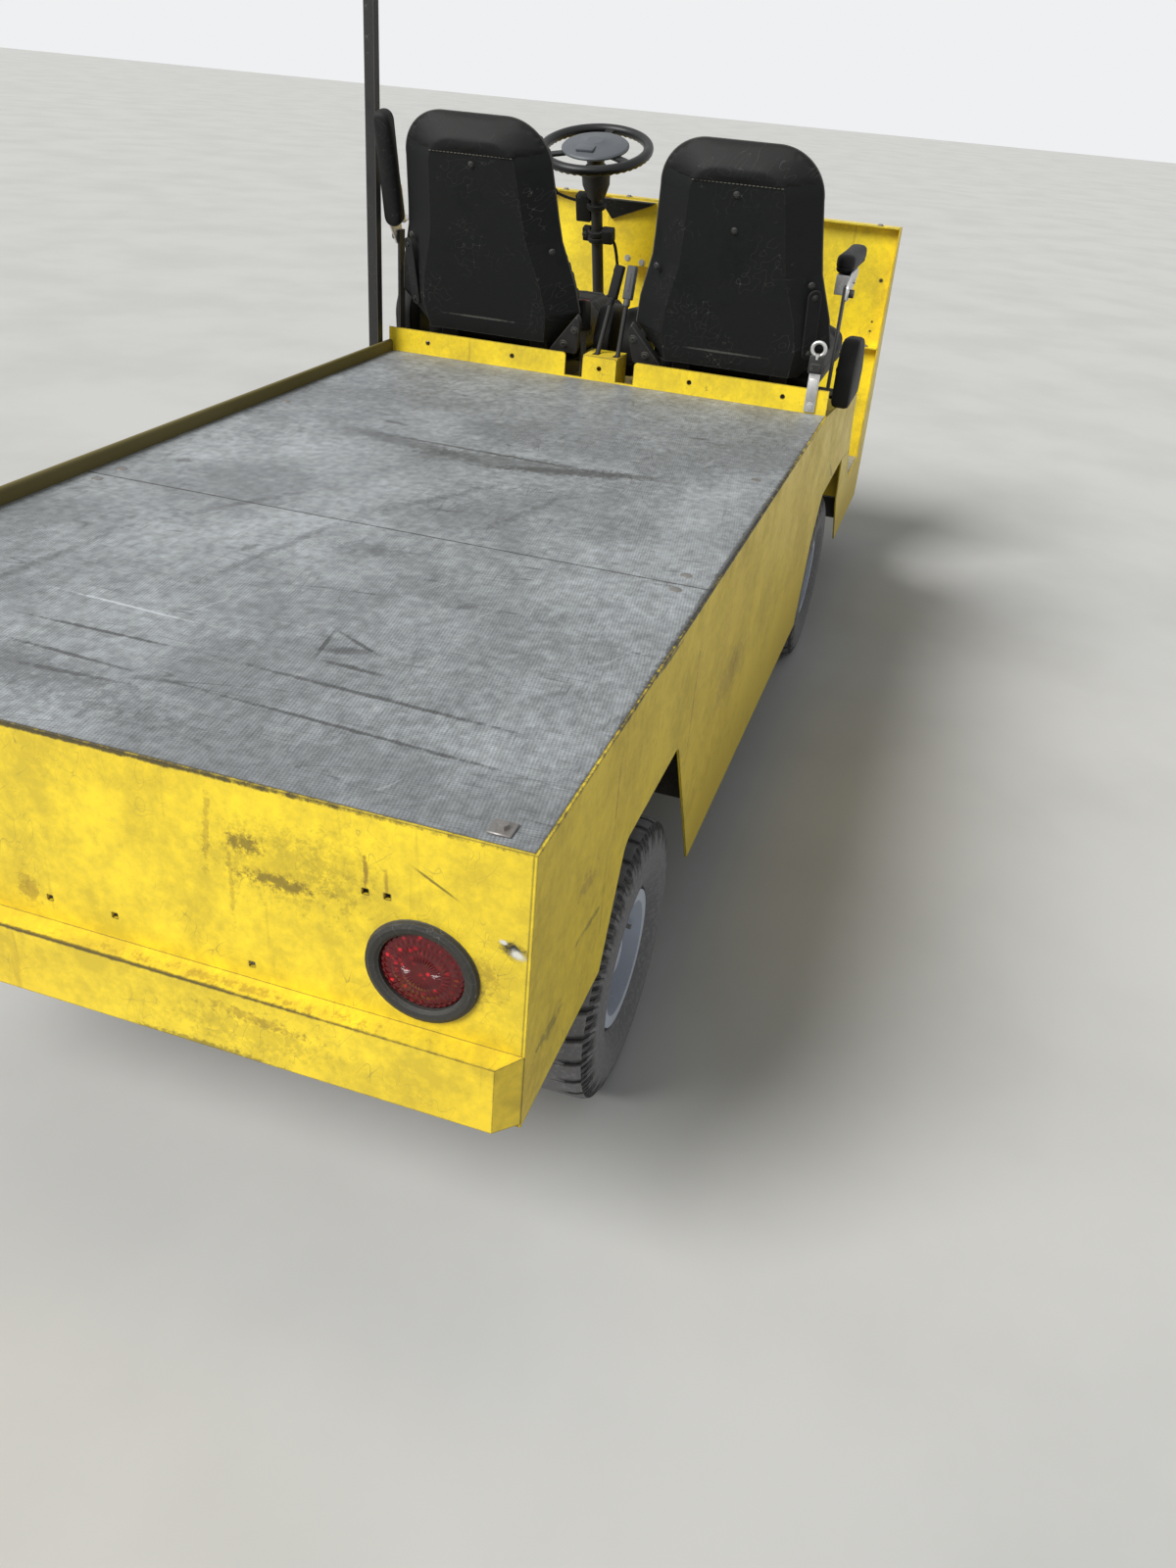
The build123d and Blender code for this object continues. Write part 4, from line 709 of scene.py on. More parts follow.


# Painted shade: dark discs on the cowl wall where it has holes that aren't modelled, in place of the shade
# inside them.
CAB_HOLE_SHADE = tuple(
    Stroke((COWL_X, y, z), ZERO, (0.02, radius, radius), 0.15)
    for y, z, radius in (
        (-0.530, 0.921, 0.009), (-0.526, 0.800, 0.005), (-0.525, 0.772, 0.005), (0.530, 0.921, 0.009)
    )
)
BACK_PALE = tuple(
    Stroke((x, side * SEAT_Y + across, z), (turn, 0.0, 0.0), half, 0.6, strength)
    for side in (1, -1)
    for x, across, z, turn, half, strength in (
        (0.284, 0.01, 0.876, 0.0, (0.03, 0.12, 0.0035), 0.2),
        (0.303, 0.178, 0.849, -0.44, (0.03, 0.0035, 0.021), 0.8),
    )
)
DECK_DARK = deck_marks((
    (-0.430, 0.290, -0.478, 0.040, 0.044, 0.9, 0.5),
    (-0.500, 0.140, -0.440, -0.280, 0.062, 0.9, 0.5),
    (-0.520, -0.020, -0.400, -0.370, 0.030, 0.6, 0.6),
    (-0.425, 0.270, -0.440, -0.300, 0.009, 0.6, 0.6),
    (-0.331, 0.278, -0.343, 0.217, 0.014, 1.0, 0.5),
    (-1.392, -0.152, -1.298, -0.133, 0.005, 0.7, 0.7),
    (-1.298, -0.133, -1.352, -0.232, 0.005, 0.7, 0.7),
    (-1.360, -0.150, -1.340, -0.205, 0.017, 0.6, 0.6),
    (-1.389, -0.157, -1.395, -0.257, 0.007, 0.7, 0.7),
    (-1.439, 0.282, -1.439, -0.023, 0.005, 0.8, 0.75),
    (-1.439, -0.023, -1.461, -0.500, 0.006, 0.9, 0.7),
    (-1.506, 0.225, -1.519, 0.0, 0.005, 0.8, 0.7),
    (-1.519, 0.0, -1.551, -0.560, 0.005, 0.9, 0.7),
    (-1.559, 0.180, -1.548, -0.006, 0.007, 0.9, 0.6),
    (-1.153, -0.251, -1.140, -0.262, 0.014, 1.0, 0.5),
    (-0.785, 0.460, -0.770, 0.440, 0.016, 1.0, 0.5),
    (-1.102, 0.125, -1.080, 0.118, 0.012, 1.0, 0.5),
    (-1.46, 0.36, -1.10, 0.33, 0.012, 1.5, 0.4),
    (-1.10, 0.33, -0.78, 0.16, 0.012, 1.5, 0.35),
    (-1.28, 0.12, -0.88, 0.05, 0.012, 1.5, 0.35),
    (-0.88, 0.05, -0.60, -0.10, 0.014, 1.5, 0.3),
    (-0.85, -0.16, -0.60, -0.22, 0.016, 1.5, 0.35),
    (-1.02, 0.02, -1.00, -0.10, 0.03, 1.7, 0.35),
    (-1.50, 0.44, -1.62, -0.10, 0.05, 1.8, 0.35),
    (-1.66, -DECK_EDGE_Y, 0.27, -DECK_EDGE_Y, 0.006, 1.2, 0.7),
))
DECK_PALE = deck_marks((
    (-1.351, 0.276, -1.366, -0.003, 0.004, 0.8, 0.8),
    (-0.95, -0.50, -0.25, -0.47, 0.07, 1.8, 0.12),
    (-0.60, 0.10, -0.1, 0.30, 0.14, 1.8, 0.1),
))

YELLOW = srgb(253, 221, 44)
# The dark second colour marks real scuffs, and also paints the shade inside the cowl's holes.
STAIN, SCUFF_AND_HOLE_SHADE, BARE = srgb(104, 60, 34), srgb(34, 33, 31), srgb(214, 212, 200)
PAINT = Enamel("yellow_paint", "yellow_paint", YELLOW, 0.36)
PAINT_REAR = Enamel(
    "yellow_paint_rear", "yellow_paint", YELLOW, 0.36,
    dirt=0.41, marks=((STAIN, REAR_RUST), (SCUFF_AND_HOLE_SHADE, REAR_DARK), (BARE, REAR_BARE)),
)
PAINT_SIDE = Enamel(
    "yellow_paint_side", "yellow_paint", YELLOW, 0.36,
    dirt=0.36, marks=((STAIN, SIDE_RUST), (SCUFF_AND_HOLE_SHADE, SIDE_DARK)),
)
PAINT_CAB = Enamel(
    "yellow_paint_cab", "yellow_paint", srgb(254, 227, 46), 0.4, dirt=0.38, marks=((SCUFF_AND_HOLE_SHADE, CAB_HOLE_SHADE),)
)
# The lip is yellow paint, and its dark olive colour is painted shade: a shaded copy of the yellow on its
# inner face.
SHADED_LIP_PAINT = Enamel("yellow_paint_lip_shaded", "yellow_paint", srgb(92, 86, 44), 0.5, dirt=0.8)
DECK_COAT = DeckCoat(
    "deck_coat", "deck_grey", srgb(182, 188, 190), 0.62,
    marks=((srgb(206, 210, 212), DECK_PALE), (srgb(38, 37, 34), DECK_DARK)),
)
VINYL = Moulded(
    "black_vinyl", "black_vinyl", srgb(19, 20, 21), 0.45,
    specular=0.2, grain=520.0, dust=0.08, scuffs=0.2,
)
PLASTIC = Moulded(
    "black_plastic", "black_plastic", srgb(19, 21, 22), 0.5,
    specular=0.16, grain=700.0, dust=0.08, scuffs=0.3,
)
BACK_PLASTIC = Moulded(
    "black_plastic_backs", "black_plastic", srgb(19, 21, 22), 0.5,
    specular=0.16, grain=700.0, dust=0.08, scuffs=0.3, marks=((srgb(168, 166, 158), BACK_PALE),),
)
GLOSS = Moulded(
    "gloss_black", "black_plastic", srgb(11, 12, 14), 0.24,
    specular=0.35, grain=700.0, depth=0.0002, dust=0.04, scuffs=0.15,
)
GREY_PAD = Moulded("grey_moulding", "pad_grey", srgb(74, 80, 88), 0.32, grain=600.0, depth=0.0004, dust=0.2)
GREY_GRIP = Moulded("grey_grip", "pad_grey", srgb(62, 64, 66), 0.5, grain=600.0, depth=0.0004, dust=0.2)
THREAD = Moulded("seam_thread", "pad_grey", srgb(104, 98, 86), 0.9, grain=900.0, depth=0.0003, dust=0.3)
BLACK_STEEL = Moulded(
    "black_steel", "black_steel", srgb(30, 30, 32), 0.42,
    specular=0.25, grain=160.0, depth=0.0005, dust=0.2,
)
DARK_CHASSIS = Moulded("chassis_black", "black_steel", srgb(30, 29, 28), 0.7, grain=120.0, dust=0.6)
RUBBER = Moulded("lamp_rubber", "lamp_rubber", srgb(28, 27, 24), 0.5, grain=300.0, dust=0.14)
MAT = Moulded("floor_mat", "lamp_rubber", srgb(36, 36, 36), 0.8, grain=240.0, dust=0.7)
WEBBING = Moulded("belt_webbing", "black_vinyl", srgb(26, 28, 36), 0.85, grain=1400.0, dust=0.2, sheen=0.4)
TYRE = Tread("tyre_rubber", "tyre_rubber", srgb(98, 99, 104), 0.82)
RIM = Moulded(
    "rim_paint", "rim_paint", srgb(206, 214, 228), 0.5,
    grain=90.0, dust=0.4, dust_colour=srgb(120, 116, 114), scuffs=0.2,
)
CHROME = Metal("chrome", "chrome", srgb(226, 225, 222), 0.2, 0.95, rust=0.12)
STEEL = Metal("bare_steel", "bare_steel", srgb(156, 155, 152), 0.42, 0.85, rust=0.3)
CASTING = Metal("cast_metal", "cast_metal", srgb(62, 60, 58), 0.7, 0.2, rust=0.6)
BATTERY = Moulded("battery_case", "battery_case", srgb(40, 42, 48), 0.55, grain=300.0, dust=0.5)
RED_LENS = Lens(
    "red_lens", "red_lens", srgb(84, 4, 10), 0.14,
    specular=0.2, glint_colour=srgb(230, 30, 44), ribs=105.0, dust=0.02,
)
CLEAR_LENS = Lens("clear_lens", "clear_lens", srgb(206, 208, 206), 0.12, glint_colour=srgb(250, 250, 246))
AMBER_LENS = Lens("amber_lens", "amber_lens", srgb(226, 116, 10), 0.14, glint_colour=srgb(255, 168, 40), ribs=120.0)
GAUGE_FACE = Finish("gauge_face", "pad_grey", srgb(226, 224, 214), 0.4)
RED_BUTTON = Finish("red_button", "red_lens", srgb(168, 20, 22), 0.4)

FINISH_OF_SLOT = {
    finish.slot: finish
    for finish in (
        PAINT, DECK_COAT, VINYL, PLASTIC, BLACK_STEEL, RUBBER, TYRE, RIM,
        CHROME, STEEL, CASTING, BATTERY, RED_LENS, CLEAR_LENS, AMBER_LENS, GREY_PAD,
    )
}
FINISH_OF_NODE = {
    "rear_panel": PAINT_REAR,
    "rear_bumper": PAINT_REAR,
    "side_panel_right": PAINT_SIDE,
    "side_panel_left": PAINT_SIDE,
    "cowl_wall": PAINT_CAB,
    "seat_back_shell_left": BACK_PLASTIC,
    "seat_back_shell_right": BACK_PLASTIC,
    "deck_lip": SHADED_LIP_PAINT,
    "chassis_rails": DARK_CHASSIS,
    "deck_frame": DARK_CHASSIS,
    "seat_supports": DARK_CHASSIS,
}


def dress_nodes() -> None:
    """Give every CAD node the finish of its slot, or one of its own."""
    slots = {part["node"]: part["material_slot"] for part in frame["record"]["subparts"]}
    for name, node in frame["nodes"].items():
        finish = FINISH_OF_NODE.get(name, FINISH_OF_SLOT[slots[name]])
        node.data.materials.clear()
        node.data.materials.append(finish.material())
        for face in node.data.polygons:
            face.material_index = 0
    LOG.info("dressed %d CAD nodes", len(frame["nodes"]))


# ---- shapes


def facing(origin: Sequence[float], normal: Sequence[float], up: Sequence[float] = UP) -> Matrix:
    """Return the place whose Z axis looks along a normal.

    Args:
        origin: Where its origin stands.
        normal: Direction of its Z axis.
        up: Direction that its Y axis leans towards.

    Returns:
        The place as a matrix.
    """
    z = Vector(normal).normalized()
    x = Vector(up).cross(z)
    x = Vector((1.0, 0.0, 0.0)) if x.length < 1e-6 else x.normalized()
    turn = Matrix((x, z.cross(x), z)).transposed().to_4x4()
    return Matrix.Translation(Vector(origin)) @ turn


def at(x: float, y: float, z: float) -> Matrix:
    """Return the unturned place at a point."""
    return Matrix.Translation((x, y, z))


def spun(degrees: float, axis: str) -> Matrix:
    """Return a turn about one axis."""
    return Matrix.Rotation(math.radians(degrees), 4, axis)


def hoop(radius: float, tube: float, count: int) -> list[tuple[float, float]]:
    """Return the closed profile of a ring with a round section."""
    turns = [number * math.tau / count for number in range(count)]
    return [(radius + tube * math.cos(turn), tube * math.sin(turn)) for turn in turns]


def bevel(bm: BMesh, geometry: list, width: float, segments: int, affect: str = "EDGES") -> None:
    """Bevel a mesh's edges, or its corners where it affects VERTICES, with a round profile."""
    settings = {"profile": 0.5, "material": -1, "clamp_overlap": True}
    bmesh.ops.bevel(bm, geom=geometry, offset=width, segments=segments, affect=affect, **settings)


def sharp_edges(edges: Iterable[BMEdge], degrees: float) -> list[BMEdge]:
    """Return the edges whose two faces meet at more than an angle."""
    return [e for e in edges if e.is_manifold and e.calc_face_angle() > math.radians(degrees)]


class Shape:
    """A mesh in the making, held as a bmesh that operators add to."""

    def __init__(self) -> None:
        """Start empty."""
        self.bm = bmesh.new()

    def box(self, low: Point, high: Point, place: Matrix = Matrix(), soft: Sequence[float] = ()) -> None:
        """Add a box.

        Args:
            low: Its lowest corner in the place.
            high: Its highest corner in the place.
            place: Where it stands.
            soft: Width and segments of the bevel on its edges, or nothing.
        """
        middle = (Vector(low) + Vector(high)) / 2
        size = Matrix.Diagonal((Vector(high) - Vector(low)).to_4d())
        size[3][3] = 1.0
        made = bmesh.ops.create_cube(self.bm, size=1.0, matrix=place @ Matrix.Translation(middle) @ size)
        if soft:
            self.soften(made["verts"], *soft)

    def rod(
        self, start: Sequence[float], end: Sequence[float], radius: float,
        segments: int = 16, end_radius: float | None = None,
    ) -> None:
        """Add a round or many-sided rod.

        Args:
            start: Where it starts.
            end: Where it ends.
            radius: Half its thickness.
            segments: How many sides it has.
            end_radius: Half its thickness at the end, where that differs.
        """
        run = Vector(end) - Vector(start)
        place = facing((Vector(start) + Vector(end)) / 2, run, (0.31, 0.17, 0.93))
        last = radius if end_radius is None else end_radius
        size = {"radius1": radius, "radius2": last, "depth": run.length}
        bmesh.ops.create_cone(self.bm, cap_ends=True, segments=segments, matrix=place, **size)

    def bent_rod(self, points: Sequence[Point], radius: float, bend: float) -> None:
        """Add a rod along points whose corners are rounded.

        Args:
            points: Where it runs, in the scene's frame.
            radius: Half its thickness.
            bend: How far from a corner the rounding starts.
        """
        spine = bpy.data.curves.new("spine", "CURVE")
        spine.dimensions = "3D"
        spine.bevel_depth = radius
        spine.bevel_resolution = 3
        spine.use_fill_caps = True
        path = [Vector(p) for p in points]
        knots = [path[0]]
        for before, corner, after in zip(path, path[1:], path[2:]):
            for other in (before, after):
                knots.append(corner + (other - corner).normalized() * bend)
        knots.append(path[-1])
        line = spine.splines.new("NURBS")
        line.points.add(len(knots) - 1)
        for knot, point in zip(knots, line.points):
            point.co = knot.to_4d()
        line.order_u = 3
        line.use_endpoint_u = True
        line.resolution_u = 5
        holder = bpy.data.objects.new("spine", spine)
        self.bm.from_mesh(bpy.data.meshes.new_from_object(holder))
        bpy.data.objects.remove(holder)

    def turned(
        self, profile: Profile, place: Matrix, steps: int = 40, closed: bool = False
    ) -> list[BMVert]:
        """Spin a profile round the Z axis of a place.

        Args:
            profile: Radius and height of each point.
            place: Where the axis stands.
            steps: How many steps go round.
            closed: Whether the last point joins the first.

        Returns:
            The vertices.
        """
        verts = [self.bm.verts.new((r, 0.0, z)) for r, z in profile]
        pairs = list(zip(verts, verts[1:])) + ([(verts[-1], verts[0])] if closed else [])
        edges = [self.bm.edges.new(pair) for pair in pairs]
        before = set(self.bm.verts) - set(verts)
        bmesh.ops.spin(
            self.bm, geom=verts + edges, cent=(0, 0, 0), axis=(0, 0, 1), angle=2 * math.pi, steps=steps,
            use_merge=True, use_duplicate=False,
        )
        made = [v for v in self.bm.verts if v not in before]
        bmesh.ops.remove_doubles(self.bm, verts=made, dist=1e-6)
        made = [v for v in self.bm.verts if v not in before]
        bmesh.ops.transform(self.bm, matrix=place, verts=made)
        return made

    def plate(
        self, outline: Profile, place: Matrix, depth: float,
        round_by: float = 0.0, segments: int = 3, soft: Sequence[float] = (),
    ) -> None:
        """Extrude an outline along the Z axis of a place.

        Args:
            outline: Its corners in the place's X and Y.
            place: Where it stands.
            depth: How thick it is.
            round_by: How far back from a corner its rounding starts.
            segments: How many faces each rounding has.
            soft: Width and segments of the bevel on its edges, or nothing.
        """
        before = set(self.bm.verts)
        corners = [self.bm.verts.new((x, y, 0.0)) for x, y in outline]
        face = self.bm.faces.new(corners)
        if round_by:
            bevel(self.bm, corners, round_by, segments, "VERTICES")
            face = next(f for f in self.bm.faces if all(v not in before for v in f.verts))
        pushed = bmesh.ops.extrude_face_region(self.bm, geom=[face], use_keep_orig=True)["geom"]
        moved = [v for v in pushed if isinstance(v, BMVert)]
        bmesh.ops.translate(self.bm, vec=(0.0, 0.0, depth), verts=moved)
        made = [v for v in self.bm.verts if v not in before]
        bmesh.ops.transform(self.bm, matrix=place, verts=made)
        if soft:
            self.soften(made, *soft)

    def soften(
        self, verts: Iterable[BMVert], width: float, segments: int = 2, sharper: float = 30.0
    ) -> None:
        """Bevel sharp edges.

        Args:
            verts: The vertices that they run between.
            width: How wide the bevel is.
            segments: How many faces it has.
            sharper: Smallest angle in degrees that counts as sharp.
        """
        chosen = set(verts)
        bmesh.ops.recalc_face_normals(self.bm, faces=[f for f in self.bm.faces if f.verts[0] in chosen])
        within = [e for e in self.bm.edges if e.verts[0] in chosen and e.verts[1] in chosen]
        bevel(self.bm, sharp_edges(within, sharper), width, segments)

    def bolt(self, place: Matrix, radius: float = 0.009, washer: float = 0.013, rise: float = 0.006) -> None:
        """Add a washer and a hexagonal head.

        Args:
            place: Where they stand, with Z outwards.
            radius: Radius of the head.
            washer: Radius of the washer, or zero for none.
            rise: How high the head stands.
        """
        foot, top = place.translation, place @ Vector((0.0, 0.0, rise))
        if washer:
            self.rod(foot - (top - foot) * 0.2, place @ Vector((0.0, 0.0, 0.0016)), washer, 20)
        self.rod(foot, top, radius, 6, radius * 0.92)

    def pan_screw(self, place: Matrix, radius: float) -> None:
        """Add a low round screw head with a cross recess.

        Args:
            place: Where it stands, with Z outwards.
            radius: Radius of the head.
        """
        profile = ((0.0, 0.0038), (0.5, 0.0035), (0.85, 0.0022), (1.0, 0.0), (1.0, -0.001), (0.0, -0.001))
        self.turned([(radius * share, rise) for share, rise in profile], place, 14)
        for turn in (0.0, 90.0):
            arm = place @ spun(turn, "Z")
            self.box((-radius * 0.55, -0.0007, 0.0034), (radius * 0.55, 0.0007, 0.0042), arm)

    def piece(
        self, name: str, finish: Finish, body: str = "vehicle",
        replaces: Sequence[str] = (), smooth: float = 38.0,
    ) -> Object:
        """Close the mesh and make it a piece of the part.

        Args:
            name: Name of the piece.
            finish: Finish that it wears.
            body: CAD body that it moves with.
            replaces: CAD nodes that it stands for.
            smooth: Edges sharper than this many degrees stay sharp.

        Returns:
            The piece.
        """
        bmesh.ops.remove_doubles(self.bm, verts=self.bm.verts, dist=1e-6)
        bmesh.ops.recalc_face_normals(self.bm, faces=self.bm.faces)
        mesh = bpy.data.meshes.new(name)
        self.bm.to_mesh(mesh)
        self.bm.free()
        return as_piece(mesh, name, finish, body, replaces, smooth)


def add_object(name: str, data: bpy.types.ID) -> Object:
    """Add an object to the scene.

    Args:
        name: Its name.
        data: What it shows.

    Returns:
        The object, at the origin.
    """
    made = bpy.data.objects.new(name, data)
    bpy.context.scene.collection.objects.link(made)
    return made


def as_piece(
    mesh: Mesh, name: str, finish: Finish, body: str, replaces: Sequence[str], smooth: float
) -> Object:
    """Put a mesh into the scene as a finished piece.

    Args:
        mesh: The piece's mesh, in the scene's frame.
        name: Name of the piece.
        finish: Finish that it wears.
        body: CAD body that it rides on.
        replaces: CAD nodes that it stands for.
        smooth: Edges sharper than this many degrees stay sharp.

    Returns:
        The piece.
    """
    mesh.shade_smooth()
    mesh.set_sharp_from_angle(angle=math.radians(smooth))
    mesh.materials.clear()
    mesh.materials.append(finish.material())
    piece = add_object(name, mesh)
    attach(piece, body)
    if replaces:
        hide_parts(*replaces)
    LOG.info("%s: %d faces", name, len(mesh.polygons))
    return piece


def copy_of(node: str) -> Shape:
    """Copy a CAD node's mesh with its doubles merged.

    Args:
        node: Name of the node.

    Returns:
        The copy.
    """
    shape = Shape()
    shape.bm.from_mesh(frame["nodes"][node].data)
    bmesh.ops.remove_doubles(shape.bm, verts=shape.bm.verts, dist=1e-5)
    bmesh.ops.recalc_face_normals(shape.bm, faces=shape.bm.faces)
    return shape


@dataclass(frozen=True)
class Stuffing:
    """How a padded form is swollen: its mesh size, how much smaller it starts and how far it may grow."""

    voxel: float = 0.006
    start: float = 0.006
    growth: float = 0.014
    pressure: float = 4.0
    frames: int = 20

    def fill(self, shape: Shape, flat_below: float | None = None) -> Mesh:
        """Swell a closed shape like a stuffed cover.

        Args:
            shape: The solid form, which is used up.
            flat_below: Height under which the form rests on something and stays flat.

        Returns:
            The swollen mesh, in the same place.
        """
        middle = sum((v.co for v in shape.bm.verts), Vector()) / len(shape.bm.verts)
        span = [max(v.co[i] for v in shape.bm.verts) - min(v.co[i] for v in shape.bm.verts) for i in range(3)]
        shrink = Matrix.Diagonal([1 - 2 * self.start / s for s in span] + [1.0])
        place = Matrix.Translation(middle)
        bmesh.ops.transform(shape.bm, matrix=place @ shrink @ place.inverted(), verts=shape.bm.verts)
        mesh = bpy.data.meshes.new("stuffing")
        shape.bm.to_mesh(mesh)
        shape.bm.free()
        cover = add_object("stuffing", mesh)
        remesh = cover.modifiers.new("voxels", "REMESH")
        remesh.mode, remesh.voxel_size = "VOXEL", self.voxel
        cover.data = self._applied(cover)
        cover.modifiers.clear()
        self._swell(cover, flat_below)
        finer = cover.modifiers.new("finer", "SUBSURF")
        finer.levels = finer.render_levels = 1
        result = self._applied(cover)
        bpy.data.objects.remove(cover)
        return result

    def _applied(self, cover: Object) -> Mesh:
        """Return the mesh that the cover's modifiers make."""
        depsgraph = bpy.context.evaluated_depsgraph_get()
        return bpy.data.meshes.new_from_object(cover.evaluated_get(depsgraph))

    def _swell(self, cover: Object, flat_below: float | None) -> None:
        """Run the cloth on the cover and keep each point's move under the cap.

        Args:
            cover: The cover, which is changed.
            flat_below: Height under which points don't move up or down.
        """
        scene = bpy.context.scene
        cloth = cover.modifiers.new("cloth", "CLOTH")
        cloth.settings.use_pressure = True
        cloth.settings.uniform_pressure_force = self.pressure
        cloth.settings.effector_weights.gravity = 0.0
        cloth.point_cache.frame_start, cloth.point_cache.frame_end = 1, self.frames
        for step in range(1, self.frames + 1):
            scene.frame_set(step)
        swollen = self._applied(cover)
        cover.modifiers.clear()
        scene.frame_set(1)
        for before, after in zip(cover.data.vertices, swollen.vertices):
            move = after.co - before.co
            if flat_below is not None and before.co.z < flat_below:
                move.z = 0.0
            if move.length > self.growth:
                move *= self.growth / move.length
            before.co += move


def carve(mesh: Mesh, seams: Iterable[tuple[Distance, float, float]]) -> None:
    """Press sewn channels into a mesh.

    Args:
        mesh: The mesh to change.
        seams: For each channel, its distance from a point, its depth and its half width.
    """
    normals = [v.normal.copy() for v in mesh.vertices]
    for distance, depth, half in seams:
        for vertex, normal in zip(mesh.vertices, normals):
            gap = distance(vertex.co)
            if gap < 3 * half:
                vertex.co -= normal * depth * math.exp(-((gap / half) ** 2))


# ---- wheels


@dataclass
class Wheels:
    """Four tyres with shoulder lugs, and the nuts and valve of each wheel."""

    lugs: int = 30
    steps_per_lug: int = 6
    groove: float = 0.014
    notch: float = 0.004
    shoulder: float = 0.052
    slant: float = 0.9
    slant_from: float = 0.058
    radius: float = 0.228
    rear_y: float = 0.4925
    front_y: float = 0.4865
    disc: float = 0.014
    nut_circle: float = 0.066
    nuts: int = 6
    valve: tuple[float, float] = (0.084, 0.080)

    PROFILE = (
        (0.1023, 0.042), (0.116, 0.042), (0.119, 0.050), (0.130, 0.0575), (0.142, 0.0635), (0.146, 0.0650),
        (0.150, 0.0652), (0.153, 0.0645), (0.166, 0.0668), (0.182, 0.0662), (0.200, 0.0632), (0.2135, 0.0590),
        (0.2230, 0.0535), (0.2265, 0.0440), (0.228, 0.0300), (0.228, 0.0120),
    )
    GROOVED = (10, 15)

    def build(self) -> None:
        """Make the four wheels' pieces."""
        for end, y in (("rear", self.rear_y), ("front", self.front_y)):
            for side in Side:
                place = facing((AXLE_X[end], side.value * y, self.radius), (0.0, side.value, 0.0))
                name = f"{end}_{side.word}"
                self._tyre(place, name)
                self._nuts(place, name)

    def _tyre(self, place: Matrix, name: str) -> None:
        """Make one tyre: a turned carcass with grooves across its tread and notches in its shoulders.

        Args:
            place: The wheel's centre, with Z outwards along the axle.
            name: End and side of the wheel.
        """
        shape = Shape()
        half = list(self.PROFILE)
        profile = half + [(r, -w) for r, w in reversed(half)]
        shape.turned(profile, Matrix(), self.lugs * self.steps_per_lug, closed=True)
        low, inner = self.PROFILE[self.GROOVED[0]][0], self.PROFILE[self.GROOVED[1]][1]
        notched = self.PROFILE[self.GROOVED[0] + 2][0]
        step = math.tau / (self.lugs * self.steps_per_lug)
        chosen = {self.groove: [], self.notch: []}
        for face in shape.bm.faces:
            spot = face.calc_center_median()
            reach = math.hypot(spot.x, spot.y)
            if reach < low or abs(spot.z) < inner:
                continue
            column = math.floor(math.atan2(spot.y, spot.x) / step)
            column += self.steps_per_lug // 2 if spot.z > 0 else 0
            if column % self.steps_per_lug == 0:
                chosen[self.groove].append(face)
            elif column % 2 == 0 and reach < notched:
                chosen[self.notch].append(face)
        for depth, faces in chosen.items():
            pushed = bmesh.ops.extrude_face_region(shape.bm, geom=faces)["geom"]
            for vertex in (v for v in pushed if isinstance(v, BMVert)):
                reach = math.hypot(vertex.co.x, vertex.co.y)
                sink = min(depth, max(0.0, reach - low + 0.001))
                vertex.co.x *= 1 - sink / reach
                vertex.co.y *= 1 - sink / reach
                if abs(vertex.co.z) > self.shoulder:
                    vertex.co.z -= math.copysign(depth / 2, vertex.co.z)
        bevel(shape.bm, sharp_edges(shape.bm.edges, 40.0), 0.0007, 1)
        for vertex in shape.bm.verts:
            inwards = max(0.0, self.slant_from - abs(vertex.co.z))
            vertex.co = Matrix.Rotation(self.slant * inwards, 4, "Z") @ vertex.co
        bmesh.ops.transform(shape.bm, matrix=place, verts=shape.bm.verts)
        shape.piece(f"tyre_tread_{name}", TYRE, f"wheel_{name}", [f"tyre_{name}"], 30.0)

    def _nuts(self, place: Matrix, name: str) -> None:
        """Make one wheel's nuts, studs and valve on its disc.

        Args:
            place: The wheel's centre, with Z outwards along the axle.
            name: End and side of the wheel.
        """
        shape = Shape()
        for number in range(self.nuts):
            turn = math.tau * (number + 0.5) / self.nuts
            spot = place @ at(math.cos(turn) * self.nut_circle, math.sin(turn) * self.nut_circle, self.disc)
            shape.bolt(spot, 0.0085, 0.0125, 0.010)
            shape.rod(spot.translation, spot @ Vector((0.0, 0.0, 0.016)), 0.0045, 10)
        stem = place @ Vector((self.valve[0], 0.0, self.disc - 0.001))
        shape.rod(stem, place @ Vector((self.valve[1], 0.0, self.disc + 0.024)), 0.0042, 10)
        shape.piece(f"wheel_nuts_{name}", STEEL, f"wheel_{name}")


# ---- seats


# Depth and half width of a sewn channel, and a distance that no channel reaches.
SEAM = 0.006
FAR = 1.0


